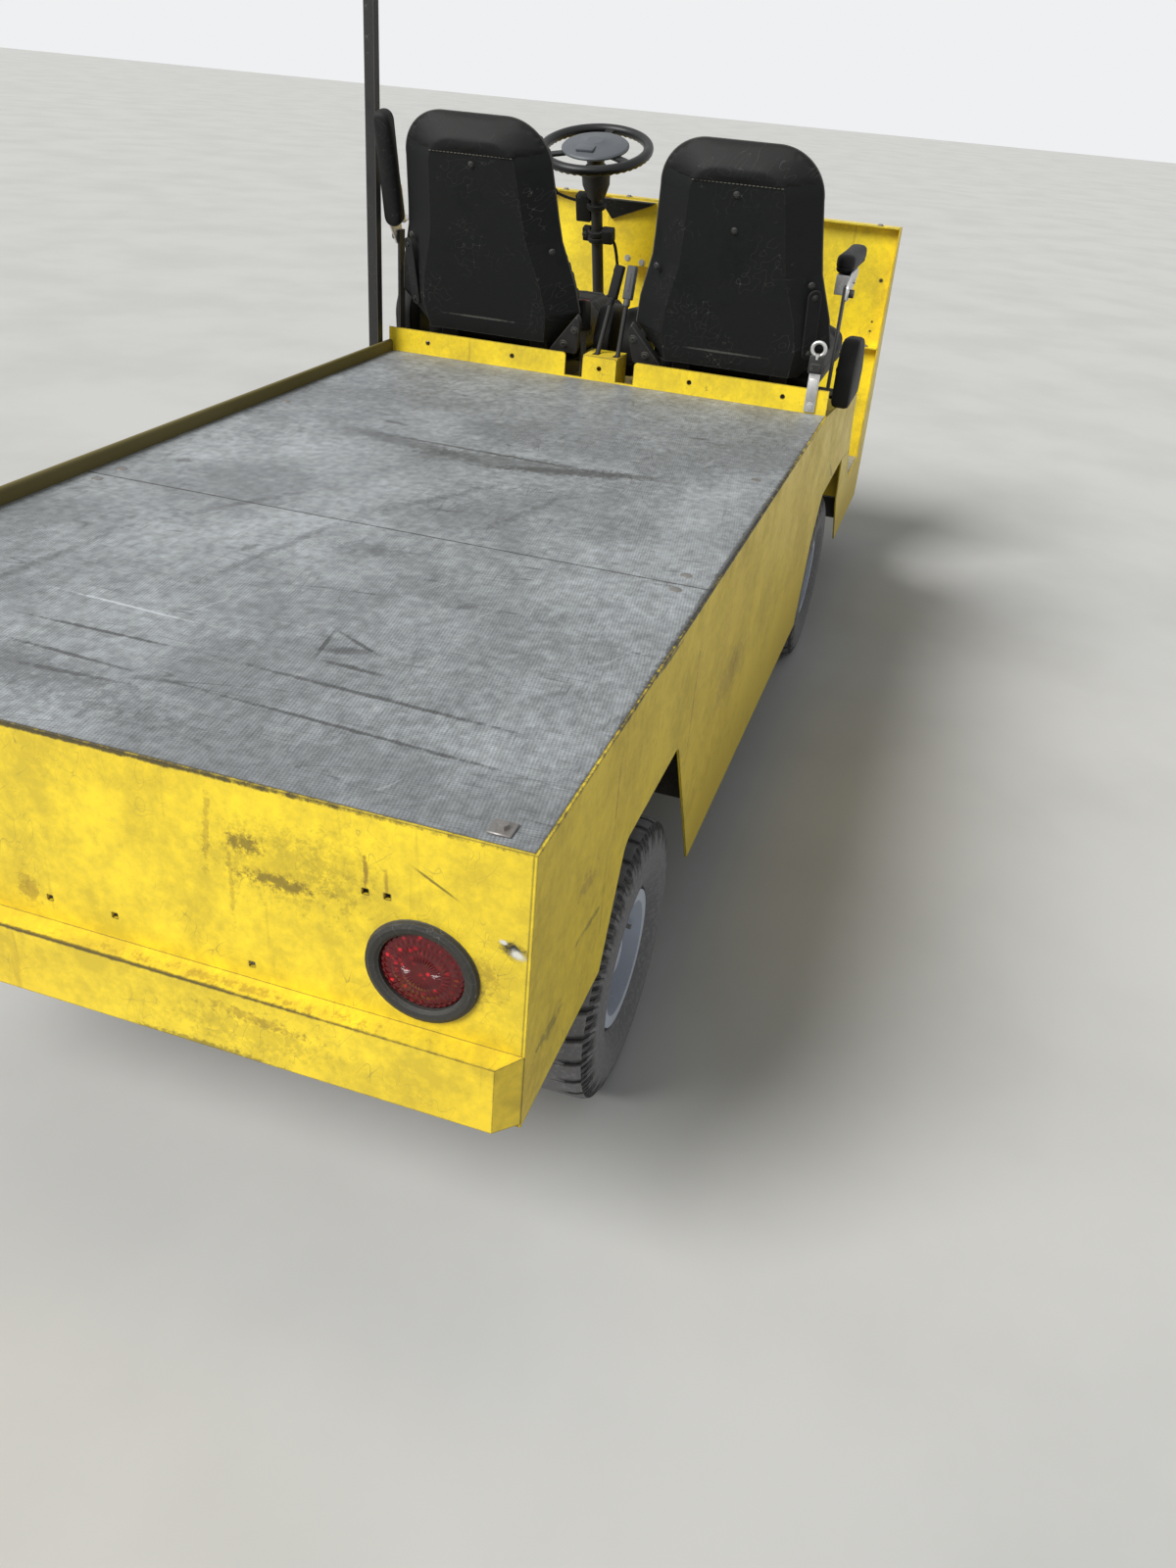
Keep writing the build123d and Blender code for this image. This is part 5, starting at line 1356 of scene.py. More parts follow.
@dataclass
class Seat:
    """One seat: crowned pads over the CAD solids, the back's vinyl cap, its screws and brackets."""

    side: Side
    y: float = SEAT_Y
    foot: tuple[float, float] = (0.301, 0.820)
    head: tuple[float, float] = (0.1455, 1.306)
    shell: float = 0.044
    taper: float = 0.075
    back_half: float = 0.234
    cap_rise: float = 0.441
    channel_rise: tuple[float, ...] = (0.15, 0.24, 0.33, 0.42)
    channel_half: float = 0.135
    flank_y: float = 0.145
    flank_rise: tuple[float, float] = (0.08, 0.47)
    seam_x: tuple[float, ...] = (0.47, 0.56, 0.65, 0.74)
    seam_half: float = 0.150
    seam_y: float = 0.158
    cushion_top: float = 0.874
    piping_z: float = 0.822
    wing: tuple[float, float] = (0.248, 0.292)
    pivot: tuple[float, float] = (0.324, 1.032)
    arm_y: float = 0.246
    pad_y: float = 0.228
    raised: float = 105.0

    NARROWING = ((0.084, 0.0), (0.150, 0.010), (0.250, 0.038), (0.300, 0.044), (0.406, 0.054))
    WING = (
        (0.388, 0.763), (0.578, 0.763), (0.592, 0.833), (0.528, 0.911), (0.418, 0.921), (0.380, 0.853)
    )
    BLADES = (
        ((0.438, 0.190, 0.774), (0.518, 0.252, 0.782)),
        ((0.438, 0.2445, 0.774), (0.518, 0.2485, 0.890)),
    )
    ARM = ((-0.016, -0.016), (0.020, -0.016), (0.130, 0.022), (0.130, 0.040), (0.040, 0.040), (-0.016, 0.016))

    def named(self, what: str) -> str:
        """Return a name that ends in the seat's side."""
        return f"{what}_{self.side.word}"

    @property
    def middle(self) -> float:
        """Y of the seat's own centre line."""
        return self.side.value * self.y

    @property
    def up(self) -> Vector:
        """Direction up the slope of the back."""
        run = Vector((self.head[0] - self.foot[0], 0.0, self.head[1] - self.foot[1]))
        return run.normalized()

    @property
    def back(self) -> Matrix:
        """Place on the shell's rear face: X is to the vehicle's right, Y is up it and Z is rearwards."""
        out = Vector((-self.up.z, 0.0, self.up.x))
        return facing((self.foot[0], self.middle, self.foot[1]), out, self.up)

    def rise_of(self, point: Vector) -> float:
        """Return how far up the back a point lies."""
        return (point - Vector((self.foot[0], self.middle, self.foot[1]))).dot(self.up)

    def build(self) -> None:
        """Make the seat's pieces."""
        self._back_pad()
        self._cushion()
        self._cap()
        self._back_fittings()
        self._wings()
        self._armrest()

    def _back_pad(self) -> None:
        """Make the stuffed back with its sewn channels."""
        node = self.named("seat_back_pad")
        mesh = Stuffing(start=0.007, growth=0.016).fill(copy_of(node))
        front = self.foot[0] + 0.02
        low, high = self.flank_rise

        def in_front(point: Vector) -> bool:
            """Say whether a point lies on the pad's front."""
            return point.x > front - self.rise_of(point) * 0.3

        def inside(point: Vector) -> bool:
            """Say whether a point lies between the seams up both sides."""
            return abs(point.y - self.middle) < self.channel_half and in_front(point)

        def beside(point: Vector) -> bool:
            """Say whether a point lies at the height of the seams up both sides."""
            return low < self.rise_of(point) < high and in_front(point)

        def channel(rise: float) -> Distance:
            """Return the distance from a seam across the back."""
            return lambda p: abs(self.rise_of(p) - rise) if inside(p) else FAR

        def flank(sign: int) -> Distance:
            """Return the distance from a seam up one side of the back."""
            return lambda p: abs((p.y - self.middle) * sign - self.flank_y) if beside(p) else FAR

        seams = [channel(rise) for rise in self.channel_rise] + [flank(sign) for sign in (1, -1)]
        carve(mesh, [(seam, SEAM, SEAM) for seam in seams])
        as_piece(mesh, self.named("back_cover"), VINYL, "vehicle", [node], 60.0)

    def _cushion(self) -> None:
        """Make the stuffed cushion with its sewn channels and its side seam."""
        node = self.named("seat_cushion")
        mesh = Stuffing(start=0.007, growth=0.018).fill(copy_of(node), flat_below=0.790)
        top = self.cushion_top - 0.03

        def across(x: float) -> Distance:
            """Return the distance from a seam across the cushion."""
            return lambda p: abs(p.x - x) if p.z > top and abs(p.y - self.middle) < self.seam_half else FAR

        def along(sign: int) -> Distance:
            """Return the distance from a seam along one side of the cushion."""
            return lambda p: abs((p.y - self.middle) * sign - self.seam_y) if p.z > top else FAR

        seams = [across(x) for x in self.seam_x] + [along(sign) for sign in (1, -1)]
        piping = (lambda p: abs(p.z - self.piping_z), 0.004, 0.004)
        carve(mesh, [(seam, SEAM, SEAM) for seam in seams] + [piping])
        as_piece(mesh, self.named("cushion_cover"), VINYL, "vehicle", [node], 60.0)

    def _cap(self) -> None:
        """Make the vinyl cap pulled over the top of the shell, down to its stitched seam."""
        shape = copy_of(self.named("seat_back_shell"))
        cut = Vector((self.foot[0], self.middle, self.foot[1])) + self.up * self.cap_rise
        geometry = shape.bm.verts[:] + shape.bm.edges[:] + shape.bm.faces[:]
        bmesh.ops.bisect_plane(shape.bm, geom=geometry, plane_co=cut, plane_no=self.up, clear_inner=True)
        bmesh.ops.holes_fill(shape.bm, edges=[e for e in shape.bm.edges if e.is_boundary])
        mesh = Stuffing(voxel=0.005, start=-0.0034, growth=0.004, pressure=2.0).fill(shape)
        cap = as_piece(mesh, self.named("back_cap"), VINYL, "vehicle", [], 60.0)
        stitches = Shape()
        for number in range(-11, 12):
            spot = self.back @ at(number * 0.0088, self.cap_rise - 0.0015, 0.0012)
            stitches.box((-0.0028, -0.0006, -0.0006), (0.0028, 0.0006, 0.0006), spot)
        stitches.piece(self.named("cap_stitches"), THREAD)

    def _on_shell(self, across: float, rise: float) -> Matrix:
        """Find a place on the shell's rear: its flat middle, or the slope beside it.

        Args:
            across: How far to the vehicle's right of the seat's middle.
            rise: How far up the back.

        Returns:
            The place, with Z outwards.
        """
        less = max([less for start, less in self.NARROWING if rise > start] or [0.0])
        flat = self.back_half - self.taper - less
        beyond = abs(across) - flat
        if beyond <= 0.0:
            return self.back @ at(across, rise, 0.0)
        slope = math.atan2(self.shell, self.taper)
        spot = self.back @ at(across, rise, -beyond * self.shell / self.taper)
        return spot @ Matrix.Rotation(math.copysign(slope, across), 4, "Y")

    def _back_fittings(self) -> None:
        """Make the back's screws, its cover plates and the black bracket at its inner foot."""
        inner, outer = self.side.value, -self.side.value
        screws = Shape()
        spots = [(0.0, 0.417), (0.178, 0.235), (-0.178, 0.235)]
        spots += [(0.0, 0.341), (0.189, 0.069)] if self.side is Side.RIGHT else []
        for across, rise in spots:
            screws.pan_screw(self._on_shell(across, rise), 0.008)
        screws.piece(self.named("back_screws"), BLACK_STEEL)
        plate = Shape()
        slope = self._on_shell(outer * 0.187, 0.145)
        outline = ((-0.016, -0.082), (0.016, -0.082), (0.016, 0.082), (-0.016, 0.082))
        plate.plate(outline, slope, 0.0045, 0.0155, 5, soft=(0.0012, 1))
        for rise in (0.066, -0.066):
            plate.pan_screw(slope @ at(0.0, rise, 0.0045), 0.0055)
        plate.piece(self.named("back_side_plate"), PLASTIC)
        bracket = Shape()
        corners = ((0.160, -0.004), (0.232, -0.006), (0.244, 0.070), (0.236, 0.092))
        outline = [(inner * across, rise) for across, rise in corners]
        foot = self.back @ at(0.0, 0.0, -0.030)
        bracket.plate(outline, foot, 0.022, 0.006, 2, soft=(0.0015, 1))
        for across, rise in ((0.200, 0.018), (0.230, 0.056)):
            bracket.bolt(self.back @ at(inner * across, rise, -0.008), 0.006, 0.009, 0.004)
        bracket.piece(self.named("back_bracket"), BLACK_STEEL)

    def _wings(self) -> None:
        """Make the two angular hip restraints with their blades behind."""
        shape = Shape()
        for sign in (1, -1):
            y = self.middle + sign * self.wing[0]
            place = facing((0.0, y, 0.0), (0.0, sign, 0.0))
            flip = -1.0 if sign > 0 else 1.0
            outline = [(flip * x, z) for x, z in self.WING]
            shape.plate(outline, place, self.wing[1] - self.wing[0], 0.016, 3, soft=(0.011, 2))
        node = self.named("hip_restraints")
        shape.piece(self.named("hip_pads"), VINYL, "vehicle", [node], 30.0)
        blades = Shape()
        for sign in (1, -1):
            for low, high in self.BLADES:
                ends = sorted((self.middle + sign * low[1], self.middle + sign * high[1]))
                blades.box((low[0], ends[0], low[2]), (high[0], ends[1], high[2]))
            y = self.middle + sign * self.BLADES[1][0][1]
            for x in (0.458, 0.498):
                blades.bolt(facing((x, y, 0.84), (0.0, -sign, 0.0)), 0.006, 0.009, 0.004)
        blades.piece(self.named("hip_blades"), BLACK_STEEL)

    def _armrest(self) -> None:
        """Make the armrest: its bent plate with a pivot bolt, and its rounded pad."""
        node = self.named("armrest")
        outer = self.side.value
        px, pz = self.pivot
        lift = Matrix()
        if self.side is Side.LEFT:
            pin = at(px, 0.0, pz)
            swing = Matrix.Rotation(math.radians(self.raised), 4, Vector((0.0, -1.0, 0.0)))
            lift = pin @ swing @ pin.inverted()
        plate_y = self.middle + outer * (self.arm_y + 0.0003)
        pad_y = self.middle + outer * self.pad_y
        metal = Shape()
        flip = -1.0 if outer > 0 else 1.0
        outline = [(flip * (px + x), pz + z) for x, z in self.ARM]
        metal.plate(outline, facing((0.0, plate_y, 0.0), (0.0, outer, 0.0)), 0.006, 0.006, 3, soft=(0.001, 1))
        shelf = sorted((pad_y - outer * 0.014, plate_y + outer * 0.006))
        metal.box((px + 0.048, shelf[0], pz + 0.024), (px + 0.130, shelf[1], pz + 0.030))
        metal.box((px + 0.044, shelf[0], pz - 0.012), (px + 0.048, shelf[1], pz + 0.030), soft=(0.001, 1))
        for share in (0.3, 0.7):
            y = shelf[0] + share * (shelf[1] - shelf[0])
            metal.bolt(facing((px + 0.044, y, pz + 0.006), BACK), 0.0055, 0.0, 0.004)
        metal.bolt(facing((px, plate_y + outer * 0.006, pz), (0.0, outer, 0.0)), 0.009, 0.014, 0.007)
        stop = [(px + 0.062, plate_y + outer * reach, pz + 0.018) for reach in (0.006, 0.010)]
        metal.rod(*stop, 0.005, 6)
        bmesh.ops.transform(metal.bm, matrix=lift, verts=metal.bm.verts)
        metal.piece(self.named("arm_plate"), CHROME, node, [node])
        pad = Shape()
        base = at(px + 0.172, pad_y, pz + 0.030)
        outline = ((-0.128, -0.023), (0.128, -0.023), (0.128, 0.023), (-0.128, 0.023))
        pad.plate(outline, base, 0.044, 0.0215, 6, soft=(0.012, 3, 60.0))
        bmesh.ops.recalc_face_normals(pad.bm, faces=pad.bm.faces)
        mesh = Stuffing(voxel=0.004, start=0.0015, growth=0.005, pressure=3.0).fill(pad)
        carve(mesh, [(lambda p: abs(p.z - pz - 0.044), 0.0016, 0.0022)])
        mesh.transform(lift)
        as_piece(mesh, self.named("arm_pad"), VINYL, node, [node], 60.0)


# ---- controls


@dataclass
class Controls:
    """Steering wheel, column fittings, hand levers, pedals' rubbers and the dash's instruments."""

    centre: Point = (1.091, 0.305, 1.216)
    tilt: float = math.radians(18)
    rim: float = 0.152
    grips: int = 48
    tube: float = 0.0145
    pad: float = 0.097
    lever_root: tuple[float, float] = (0.2911, 0.733)
    lever_rise: float = 0.236
    lever_lean: float = math.radians(15)
    pedal_x: float = 1.296
    pedal_z: float = 0.472
    pedal_lean: float = -38.0
    dash_x: float = 1.3797
    dash_z: float = 0.965

    CLAMP = ((0.0172, 0.0), (0.027, 0.0), (0.028, -0.003), (0.028, -0.011), (0.027, -0.014), (0.0172, -0.014))
    SWITCH_BOXES = (
        ((-0.012, 0.017, -0.205), (0.024, 0.062, -0.128)),
        ((-0.018, -0.052, -0.262), (0.020, -0.016, -0.222)),
        ((-0.010, 0.020, -0.262), (0.016, 0.044, -0.222)),
    )
    STALKS = (
        (
            ((0.0, 0.050, -0.150), (-0.004, 0.092, -0.142), (-0.012, 0.118, -0.128)), 0.0042, 0.012,
            (-0.014, 0.124, -0.124),
            ((0.0, 0.010), (0.006, 0.008), (0.009, 0.0), (0.006, -0.009), (0.0, -0.011)), 18,
        ),
        (
            ((0.0, -0.036, -0.236), (-0.004, -0.060, -0.262), (-0.012, -0.068, -0.330)), 0.0048, 0.014,
            (-0.013, -0.069, -0.346),
            ((0.0, 0.024), (0.008, 0.022), (0.013, 0.010), (0.014, -0.006), (0.010, -0.018), (0.0, -0.022)),
            20,
        ),
    )

    @property
    def column(self) -> Matrix:
        """Place at the wheel's centre: Z is up the column and X is forward."""
        return Matrix.Translation(self.centre) @ Matrix.Rotation(-self.tilt, 4, "Y")

    def build(self) -> None:
        """Make every control's pieces."""
        self._steering_wheel()
        self._column_fittings()
        self._levers()
        self._pedal_rubbers()
        self._dash()

    def _steering_wheel(self) -> None:
        """Make the wheel's gripped rim and spokes, and its round grey hub pad."""
        black = Shape()
        place = self.column
        made = black.turned(hoop(self.rim, self.tube, 14), Matrix(), self.grips * 2, closed=True)
        for vertex in made:
            turn = math.atan2(vertex.co.y, vertex.co.x) * self.grips
            if vertex.co.z < -0.001:
                vertex.co.z *= 1.0 - 0.12 * (1 + math.cos(turn))
        bmesh.ops.transform(black.bm, matrix=place, verts=made)
        for number in range(3):
            spoke = place @ Matrix.Rotation(number * math.tau / 3, 4, "Z")
            black.box((0.020, -0.013, -0.0045), (self.rim - 0.004, 0.013, 0.0045), spoke, soft=(0.003, 2))
        collar = ((0.0091, 0.004), (0.026, 0.004), (0.026, -0.034), (0.023, -0.040), (0.0091, -0.040))
        black.turned(collar, place, 32, closed=True)
        black.piece("wheel_rim_and_spokes", GLOSS, "steering_wheel", ["steering_wheel"])
        hub = Shape()
        profile = (
            (0.0, 0.0265), (0.024, 0.0262), (0.028, 0.0240), (0.060, 0.0200), (0.084, 0.0160),
            (0.093, 0.0130), (self.pad, 0.009), (self.pad, 0.0048), (0.0, 0.0048),
        )
        hub.turned(profile, place, 56)
        boss = place @ at(-0.052, 0.010, 0.0165)
        hub.box((-0.021, -0.026, 0.0), (0.017, 0.026, 0.010), boss, soft=(0.004, 2))
        hub.piece("wheel_hub_pad", GREY_PAD, "steering_wheel", ["steering_wheel"], 24.0)

    def _column_fittings(self) -> None:
        """Make the column's clamp rings, its switch box and the stalks on both sides."""
        place = self.column
        fittings = Shape()
        for drop in (0.150, 0.228, 0.246):
            fittings.turned([(reach, rise - drop) for reach, rise in self.CLAMP], place, 28, closed=True)
        for low, high in self.SWITCH_BOXES:
            fittings.box(low, high, place, soft=(0.004, 2))
        fittings.bolt(place @ at(-0.012, 0.034, -0.240) @ spun(-90.0, "Y"), 0.006, 0.009, 0.005)
        for points, radius, bend, foot, knob, steps in self.STALKS:
            fittings.bent_rod([place @ Vector(point) for point in points], radius, bend)
            fittings.turned(knob, place @ at(*foot), steps)
        fittings.piece("column_fittings", PLASTIC)

    def _levers(self) -> None:
        """Make the two hand levers: dark rods, a black bladed grip and a grey slotted one."""
        rods, collars = Shape(), Shape()
        foot = Vector((0.011, 0.008, 0.008))
        for y, aside, finish, word in (
            (0.030, math.radians(7), PLASTIC, "left"), (-0.031, math.radians(1), GREY_GRIP, "right")
        ):
            along = Vector((math.tan(self.lever_lean), -math.tan(aside), 1.0)).normalized()
            root = Vector((self.lever_root[0], y, self.lever_root[1]))
            place = facing(root, along, (0.0, 1.0, 0.0))
            rods.rod(root, root + along * self.lever_rise, 0.0058, 18)
            collars.box(root - foot, root + foot, soft=(0.002, 1))
            grip = Shape()
            top = self.lever_rise - 0.010
            outline = ((-0.008, -0.011), (0.008, -0.013), (0.008, 0.013), (-0.008, 0.011))
            grip.plate(outline, place @ at(0.0, 0.0, top), 0.076, soft=(0.003, 3))
            if word == "right":
                slot = (-0.0092, -0.0028, top + 0.018), (-0.0070, 0.0028, top + 0.060)
                grip.box(*slot, place, soft=(0.0008, 1))
            collar = ((0.006, 0.0), (0.0085, 0.002), (0.0085, 0.014), (0.006, 0.018))
            grip.turned(collar, place @ at(0.0, 0.0, top - 0.016), 20, closed=True)
            grip.piece(f"lever_grip_{word}", finish, "vehicle", ["hand_levers"])
        rods.piece("lever_rods", BLACK_STEEL, "vehicle", ["hand_levers"])
        collars.piece("lever_feet", BLACK_STEEL, "vehicle", ["hand_levers"])

    def _pedal_rubbers(self) -> None:
        """Make the ribbed rubbers on the two pedals."""
        shape = Shape()
        for y, half in ((0.390, 0.036), (0.210, 0.027)):
            plate = at(self.pedal_x, y, self.pedal_z) @ spun(self.pedal_lean, "Y")
            shape.box((-0.0088, -half, -0.044), (-0.0052, half, 0.044), plate, soft=(0.001, 1))
            edge = half - 0.004
            for rib in range(6):
                z = -0.036 + rib * 0.0144
                shape.box((-0.0112, -edge, z - 0.0028), (-0.0086, edge, z + 0.0028), plate, soft=(0.0007, 1))
        shape.piece("pedal_rubbers", RUBBER)

    def _dash(self) -> None:
        """Make the instruments on the console's face and its bright bolts."""

        def spot(y: float, rise: float) -> Matrix:
            """Return a place on the console's face."""
            return facing((self.dash_x, y, self.dash_z + rise), BACK)

        bezels, faces, needles = Shape(), Shape(), Shape()
        for y, rise, radius in ((0.120, 0.046, 0.030), (0.045, 0.046, 0.026)):
            place = spot(y, rise)
            bezel = ((-0.004, 0.0), (-0.003, 0.006), (0.0, 0.007), (0.004, 0.004), (0.004, 0.0))
            bezels.turned([(radius + past, rise) for past, rise in bezel], place, 40, closed=True)
            inner = radius - 0.004
            faces.turned(((0.0, 0.003), (inner, 0.003), (inner, -0.001), (0.0, -0.001)), place, 36)
            for tick in range(9):
                ray = place @ spun(-120 + 30 * tick, "Z")
                needles.box((-0.0007, radius * 0.66, 0.0028), (0.0007, radius * 0.82, 0.0036), ray)
            ray = place @ spun(-50, "Z")
            needles.box((-0.0009, -0.004, 0.0034), (0.0009, radius * 0.7, 0.0046), ray)
        for y in (-0.030, -0.065):
            needles.box((-0.009, -0.014, 0.0), (0.009, 0.014, 0.006), spot(y, 0.048), soft=(0.002, 2))
        lock = spot(-0.110, 0.046)
        bezels.turned(((0.0, 0.012), (0.010, 0.012), (0.013, 0.008), (0.013, 0.0), (0.0, 0.0)), lock, 24)
        bezels.piece("gauge_bezels", CHROME)
        faces.piece("gauge_faces", GAUGE_FACE)
        needles.piece("gauge_needles_and_switches", PLASTIC)
        key = Shape()
        key.box((-0.0012, -0.010, 0.010), (0.0012, 0.010, 0.034), lock, soft=(0.0008, 1))
        key.piece("start_key", STEEL)
        bolts = Shape()
        for y, z in ((0.264, 0.903), (0.216, 0.894), (0.045, 0.900), (-0.10, 0.900), (-0.19, 0.930)):
            bolts.bolt(facing((self.dash_x, y, z), BACK), 0.0065, 0.010, 0.005)
        bolts.piece("dash_bolts", CHROME)


# ---- body


@dataclass
class Body:
    """Fasteners, lamps, mast, latch, belts and the running gear's small parts."""

    lamp_y: float = 0.438
    lamp_z: float = 0.582
    lens: float = 0.051
    head_y: float = 0.400
    head_z: float = 0.650
    nose_top: tuple[float, float] = (1.471, 1.073)
    nose_fold: tuple[float, float] = (1.586, 0.470)
    mast: tuple[float, float] = (0.2335, 0.5748)
    beacon: Point = (0.2335, 0.5428, 1.854)
    deck_bolt_x: tuple[float, ...] = (-1.650, -0.939, -0.874, -0.317)
    deck_bolt_y: float = 0.510
    cowl_bolt_x: float = 1.432
    cowl_top_z: float = 1.073
    rail_z: float = 0.725
    reel_y: float = 0.520
    spring_y: float = 0.252
    latch_y: float = -0.518
    strip_x: float = 0.274

    def build(self) -> None:
        """Make every small part of the body."""
        self._lenses()
        self._beacon()
        self._mast_bolts()
        self._deck_fasteners()
        self._cab_fasteners()
        self._latch()
        self._belts()
        self._mat()
        self._springs()

    def _lens(self, shape: Shape, place: Matrix) -> None:
        """Add one faceted lens.

        Args:
            shape: The mesh that it joins.
            place: Middle of its foot, with Z outwards.
        """
        profile = (
            (0.0, 0.0048), (0.012, 0.0046), (0.024, 0.0040), (0.036, 0.0028), (0.046, 0.0012),
            (self.lens, -0.001), (self.lens, -0.024), (0.0, -0.024),
        )
        made = set(shape.turned(profile, Matrix(), 36))
        quads = [f for f in shape.bm.faces if len(f.verts) == 4 and all(v in made for v in f.verts)]
        dome = [f for f in quads if f.calc_center_median().z > 0]
        poked = bmesh.ops.poke(shape.bm, faces=dome, offset=0.0013)
        bmesh.ops.transform(shape.bm, matrix=place, verts=list(made) + poked["verts"])

    def _lenses(self) -> None:
        """Make the tail and head lamps' lenses."""
        tails, heads = Shape(), Shape()
        run = Vector((self.nose_fold[0] - self.nose_top[0], 0.0, self.nose_fold[1] - self.nose_top[1]))
        out = Vector((-run.z, 0.0, run.x)).normalized()
        share = (self.nose_top[1] - self.head_z) / -run.z
        for side in Side:
            self._lens(tails, facing((-1.684, side.value * self.lamp_y, self.lamp_z), BACK))
            spot = (self.nose_top[0] + run.x * share, side.value * self.head_y, self.head_z)
            self._lens(heads, facing(spot, out))
        tails.piece("tail_lens_facets", RED_LENS, "vehicle", ["tail_lenses"], 10.0)
        heads.piece("head_lens_facets", CLEAR_LENS, "vehicle", ["headlamp_lenses"], 10.0)

    def _beacon(self) -> None:
        """Make the beacon: a black foot with a rim, and a ribbed amber dome."""
        place = Matrix.Translation(self.beacon)
        foot = Shape()
        profile = ((0.0, 0.0), (0.052, 0.0), (0.052, 0.010), (0.049, 0.013), (0.047, 0.024), (0.0, 0.024))
        foot.turned(profile, place, 48)
        foot.piece("beacon_foot", PLASTIC, "vehicle", ["beacon"])
        dome = Shape()
        profile = [(0.0, 0.023), (0.0455, 0.023)]
        for rib in range(7):
            profile += [(0.0455, 0.026 + rib * 0.007), (0.0442, 0.0295 + rib * 0.007)]
        profile += [(0.0452, 0.076), (0.0440, 0.088), (0.0400, 0.099)]
        profile += [(0.0320, 0.108), (0.0200, 0.114), (0.0, 0.116)]
        dome.turned(profile, place, 56)
        dome.piece("beacon_dome", AMBER_LENS, "vehicle", ["beacon"], 50.0)

    def _mast_bolts(self) -> None:
        """Make the mast's bolts through the side panel and the two bolts beside the beacon."""
        shape = Shape()
        for z in (0.560, 0.640, 0.735):
            place = facing((self.mast[0], self.mast[1] + 0.0125, z), (0.0, 1.0, 0.0))
            shape.bolt(place, 0.0075, 0.0105, 0.006)
        for dx in (-0.034, 0.034):
            shape.bolt(at(self.beacon[0] + dx, self.beacon[1] + 0.036, self.beacon[2]), 0.005, 0.0, 0.004)
        shape.piece("mast_bolts", STEEL)

    def _deck_fasteners(self) -> None:
        """Make the deck's flush bolts and the clamp plate at its rear right corner."""
        shape = Shape()
        profile = ((0.0, 0.0022), (0.0055, 0.0020), (0.0095, 0.0006), (0.0102, -0.001), (0.0, -0.001))
        for x in self.deck_bolt_x:
            for sign in (1, -1):
                shape.turned(profile, at(x, sign * self.deck_bolt_y, DECK_Z), 18)
        shape.piece("deck_bolts", STEEL)
        plate = Shape()
        plate.box((-1.667, -0.526, DECK_Z), (-1.640, -0.499, DECK_Z + 0.003), soft=(0.0012, 1))
        plate.bolt(at(-1.6535, -0.5125, DECK_Z + 0.003), 0.0075, 0.0, 0.005)
        plate.piece("deck_clamp_plate", STEEL)

    def _cab_fasteners(self) -> None:
        """Make the bolts of the cowl's flange and ledge, the bumpers and the seat rails."""
        shape = Shape()
        for y in (-0.50, -0.30, 0.29, 0.50):
            shape.bolt(at(self.cowl_bolt_x, y, self.cowl_top_z), 0.007, 0.010, 0.005)
        for y in (-0.52, -0.40, 0.40, 0.52):
            shape.bolt(at(self.cowl_bolt_x, y, SEAT_FLOOR_Z), 0.0065, 0.0095, 0.005)
        for sign in (1, -1):
            for y in (0.108, 0.405):
                shape.bolt(facing((-BUMPER_X, sign * y, 0.300), AHEAD), 0.009, 0.0, -0.004)
            for x in (0.40, 0.66):
                for offset in (-0.162, 0.162):
                    shape.bolt(at(x, sign * SEAT_Y + offset, self.rail_z), 0.007, 0.010, 0.005)
        shape.piece("cab_bolts", STEEL)

    def _latch(self) -> None:
        """Make the chrome belt latch: its strap, its dark buckle and the hook ring on top."""
        x, y = self.strip_x - 0.0003, self.latch_y
        strap = Shape()
        strap.box((x - 0.004, y - 0.013, 0.774), (x, y + 0.013, 0.876), soft=(0.0012, 2))
        strap.box((x - 0.0075, y - 0.010, 0.800), (x - 0.0038, y + 0.010, 0.850), soft=(0.0015, 2))
        strap.bolt(facing((x - 0.004, y, 0.788), BACK), 0.0065, 0.009, 0.006)
        strap.turned(hoop(0.0150, 0.0045, 12), facing((x - 0.007, y, 0.916), BACK), 32, closed=True)
        strap.rod((x - 0.007, y, 0.894), (x - 0.007, y, 0.906), 0.0075, 16)
        strap.piece("latch_strap_and_ring", CHROME, "vehicle", ["belt_latch"])
        buckle = Shape()
        buckle.box((x - 0.014, y - 0.017, 0.862), (x, y + 0.017, 0.902), soft=(0.003, 2))
        buckle.box((x - 0.0165, y - 0.011, 0.868), (x - 0.0138, y + 0.011, 0.884), soft=(0.001, 1))
        buckle.piece("latch_buckle", BLACK_STEEL, "vehicle", ["belt_latch"])

    def _belts(self) -> None:
        """Make each seat's belt buckle on its webbing beside the lever box, and its reel's cover."""
        webbing, buckles, buttons = Shape(), Shape(), Shape()
        for sign in (1, -1):
            foot = Vector((0.360, sign * 0.066, SEAT_FLOOR_Z))
            lean = Vector((0.16, sign * 0.10, 0.98)).normalized()
            place = facing(foot, lean, (1.0, 0.0, 0.0))
            webbing.box((-0.0018, -0.020, 0.0), (0.0018, 0.020, 0.150), place, soft=(0.0012, 1))
            buckles.box((-0.011, -0.026, 0.135), (0.011, 0.026, 0.205), place, soft=(0.006, 3))
            buttons.box((-0.008, -0.018, 0.196), (0.008, 0.018, 0.2065), place, soft=(0.0015, 1))
            y = sign * self.reel_y
            buckles.box((0.300, y - 0.020, SEAT_FLOOR_Z), (0.360, y + 0.020, 0.790), soft=(0.008, 3))
        webbing.piece("belt_webbing", WEBBING)
        buckles.piece("belt_buckles", PLASTIC)
        buttons.piece("belt_buttons", RED_BUTTON)

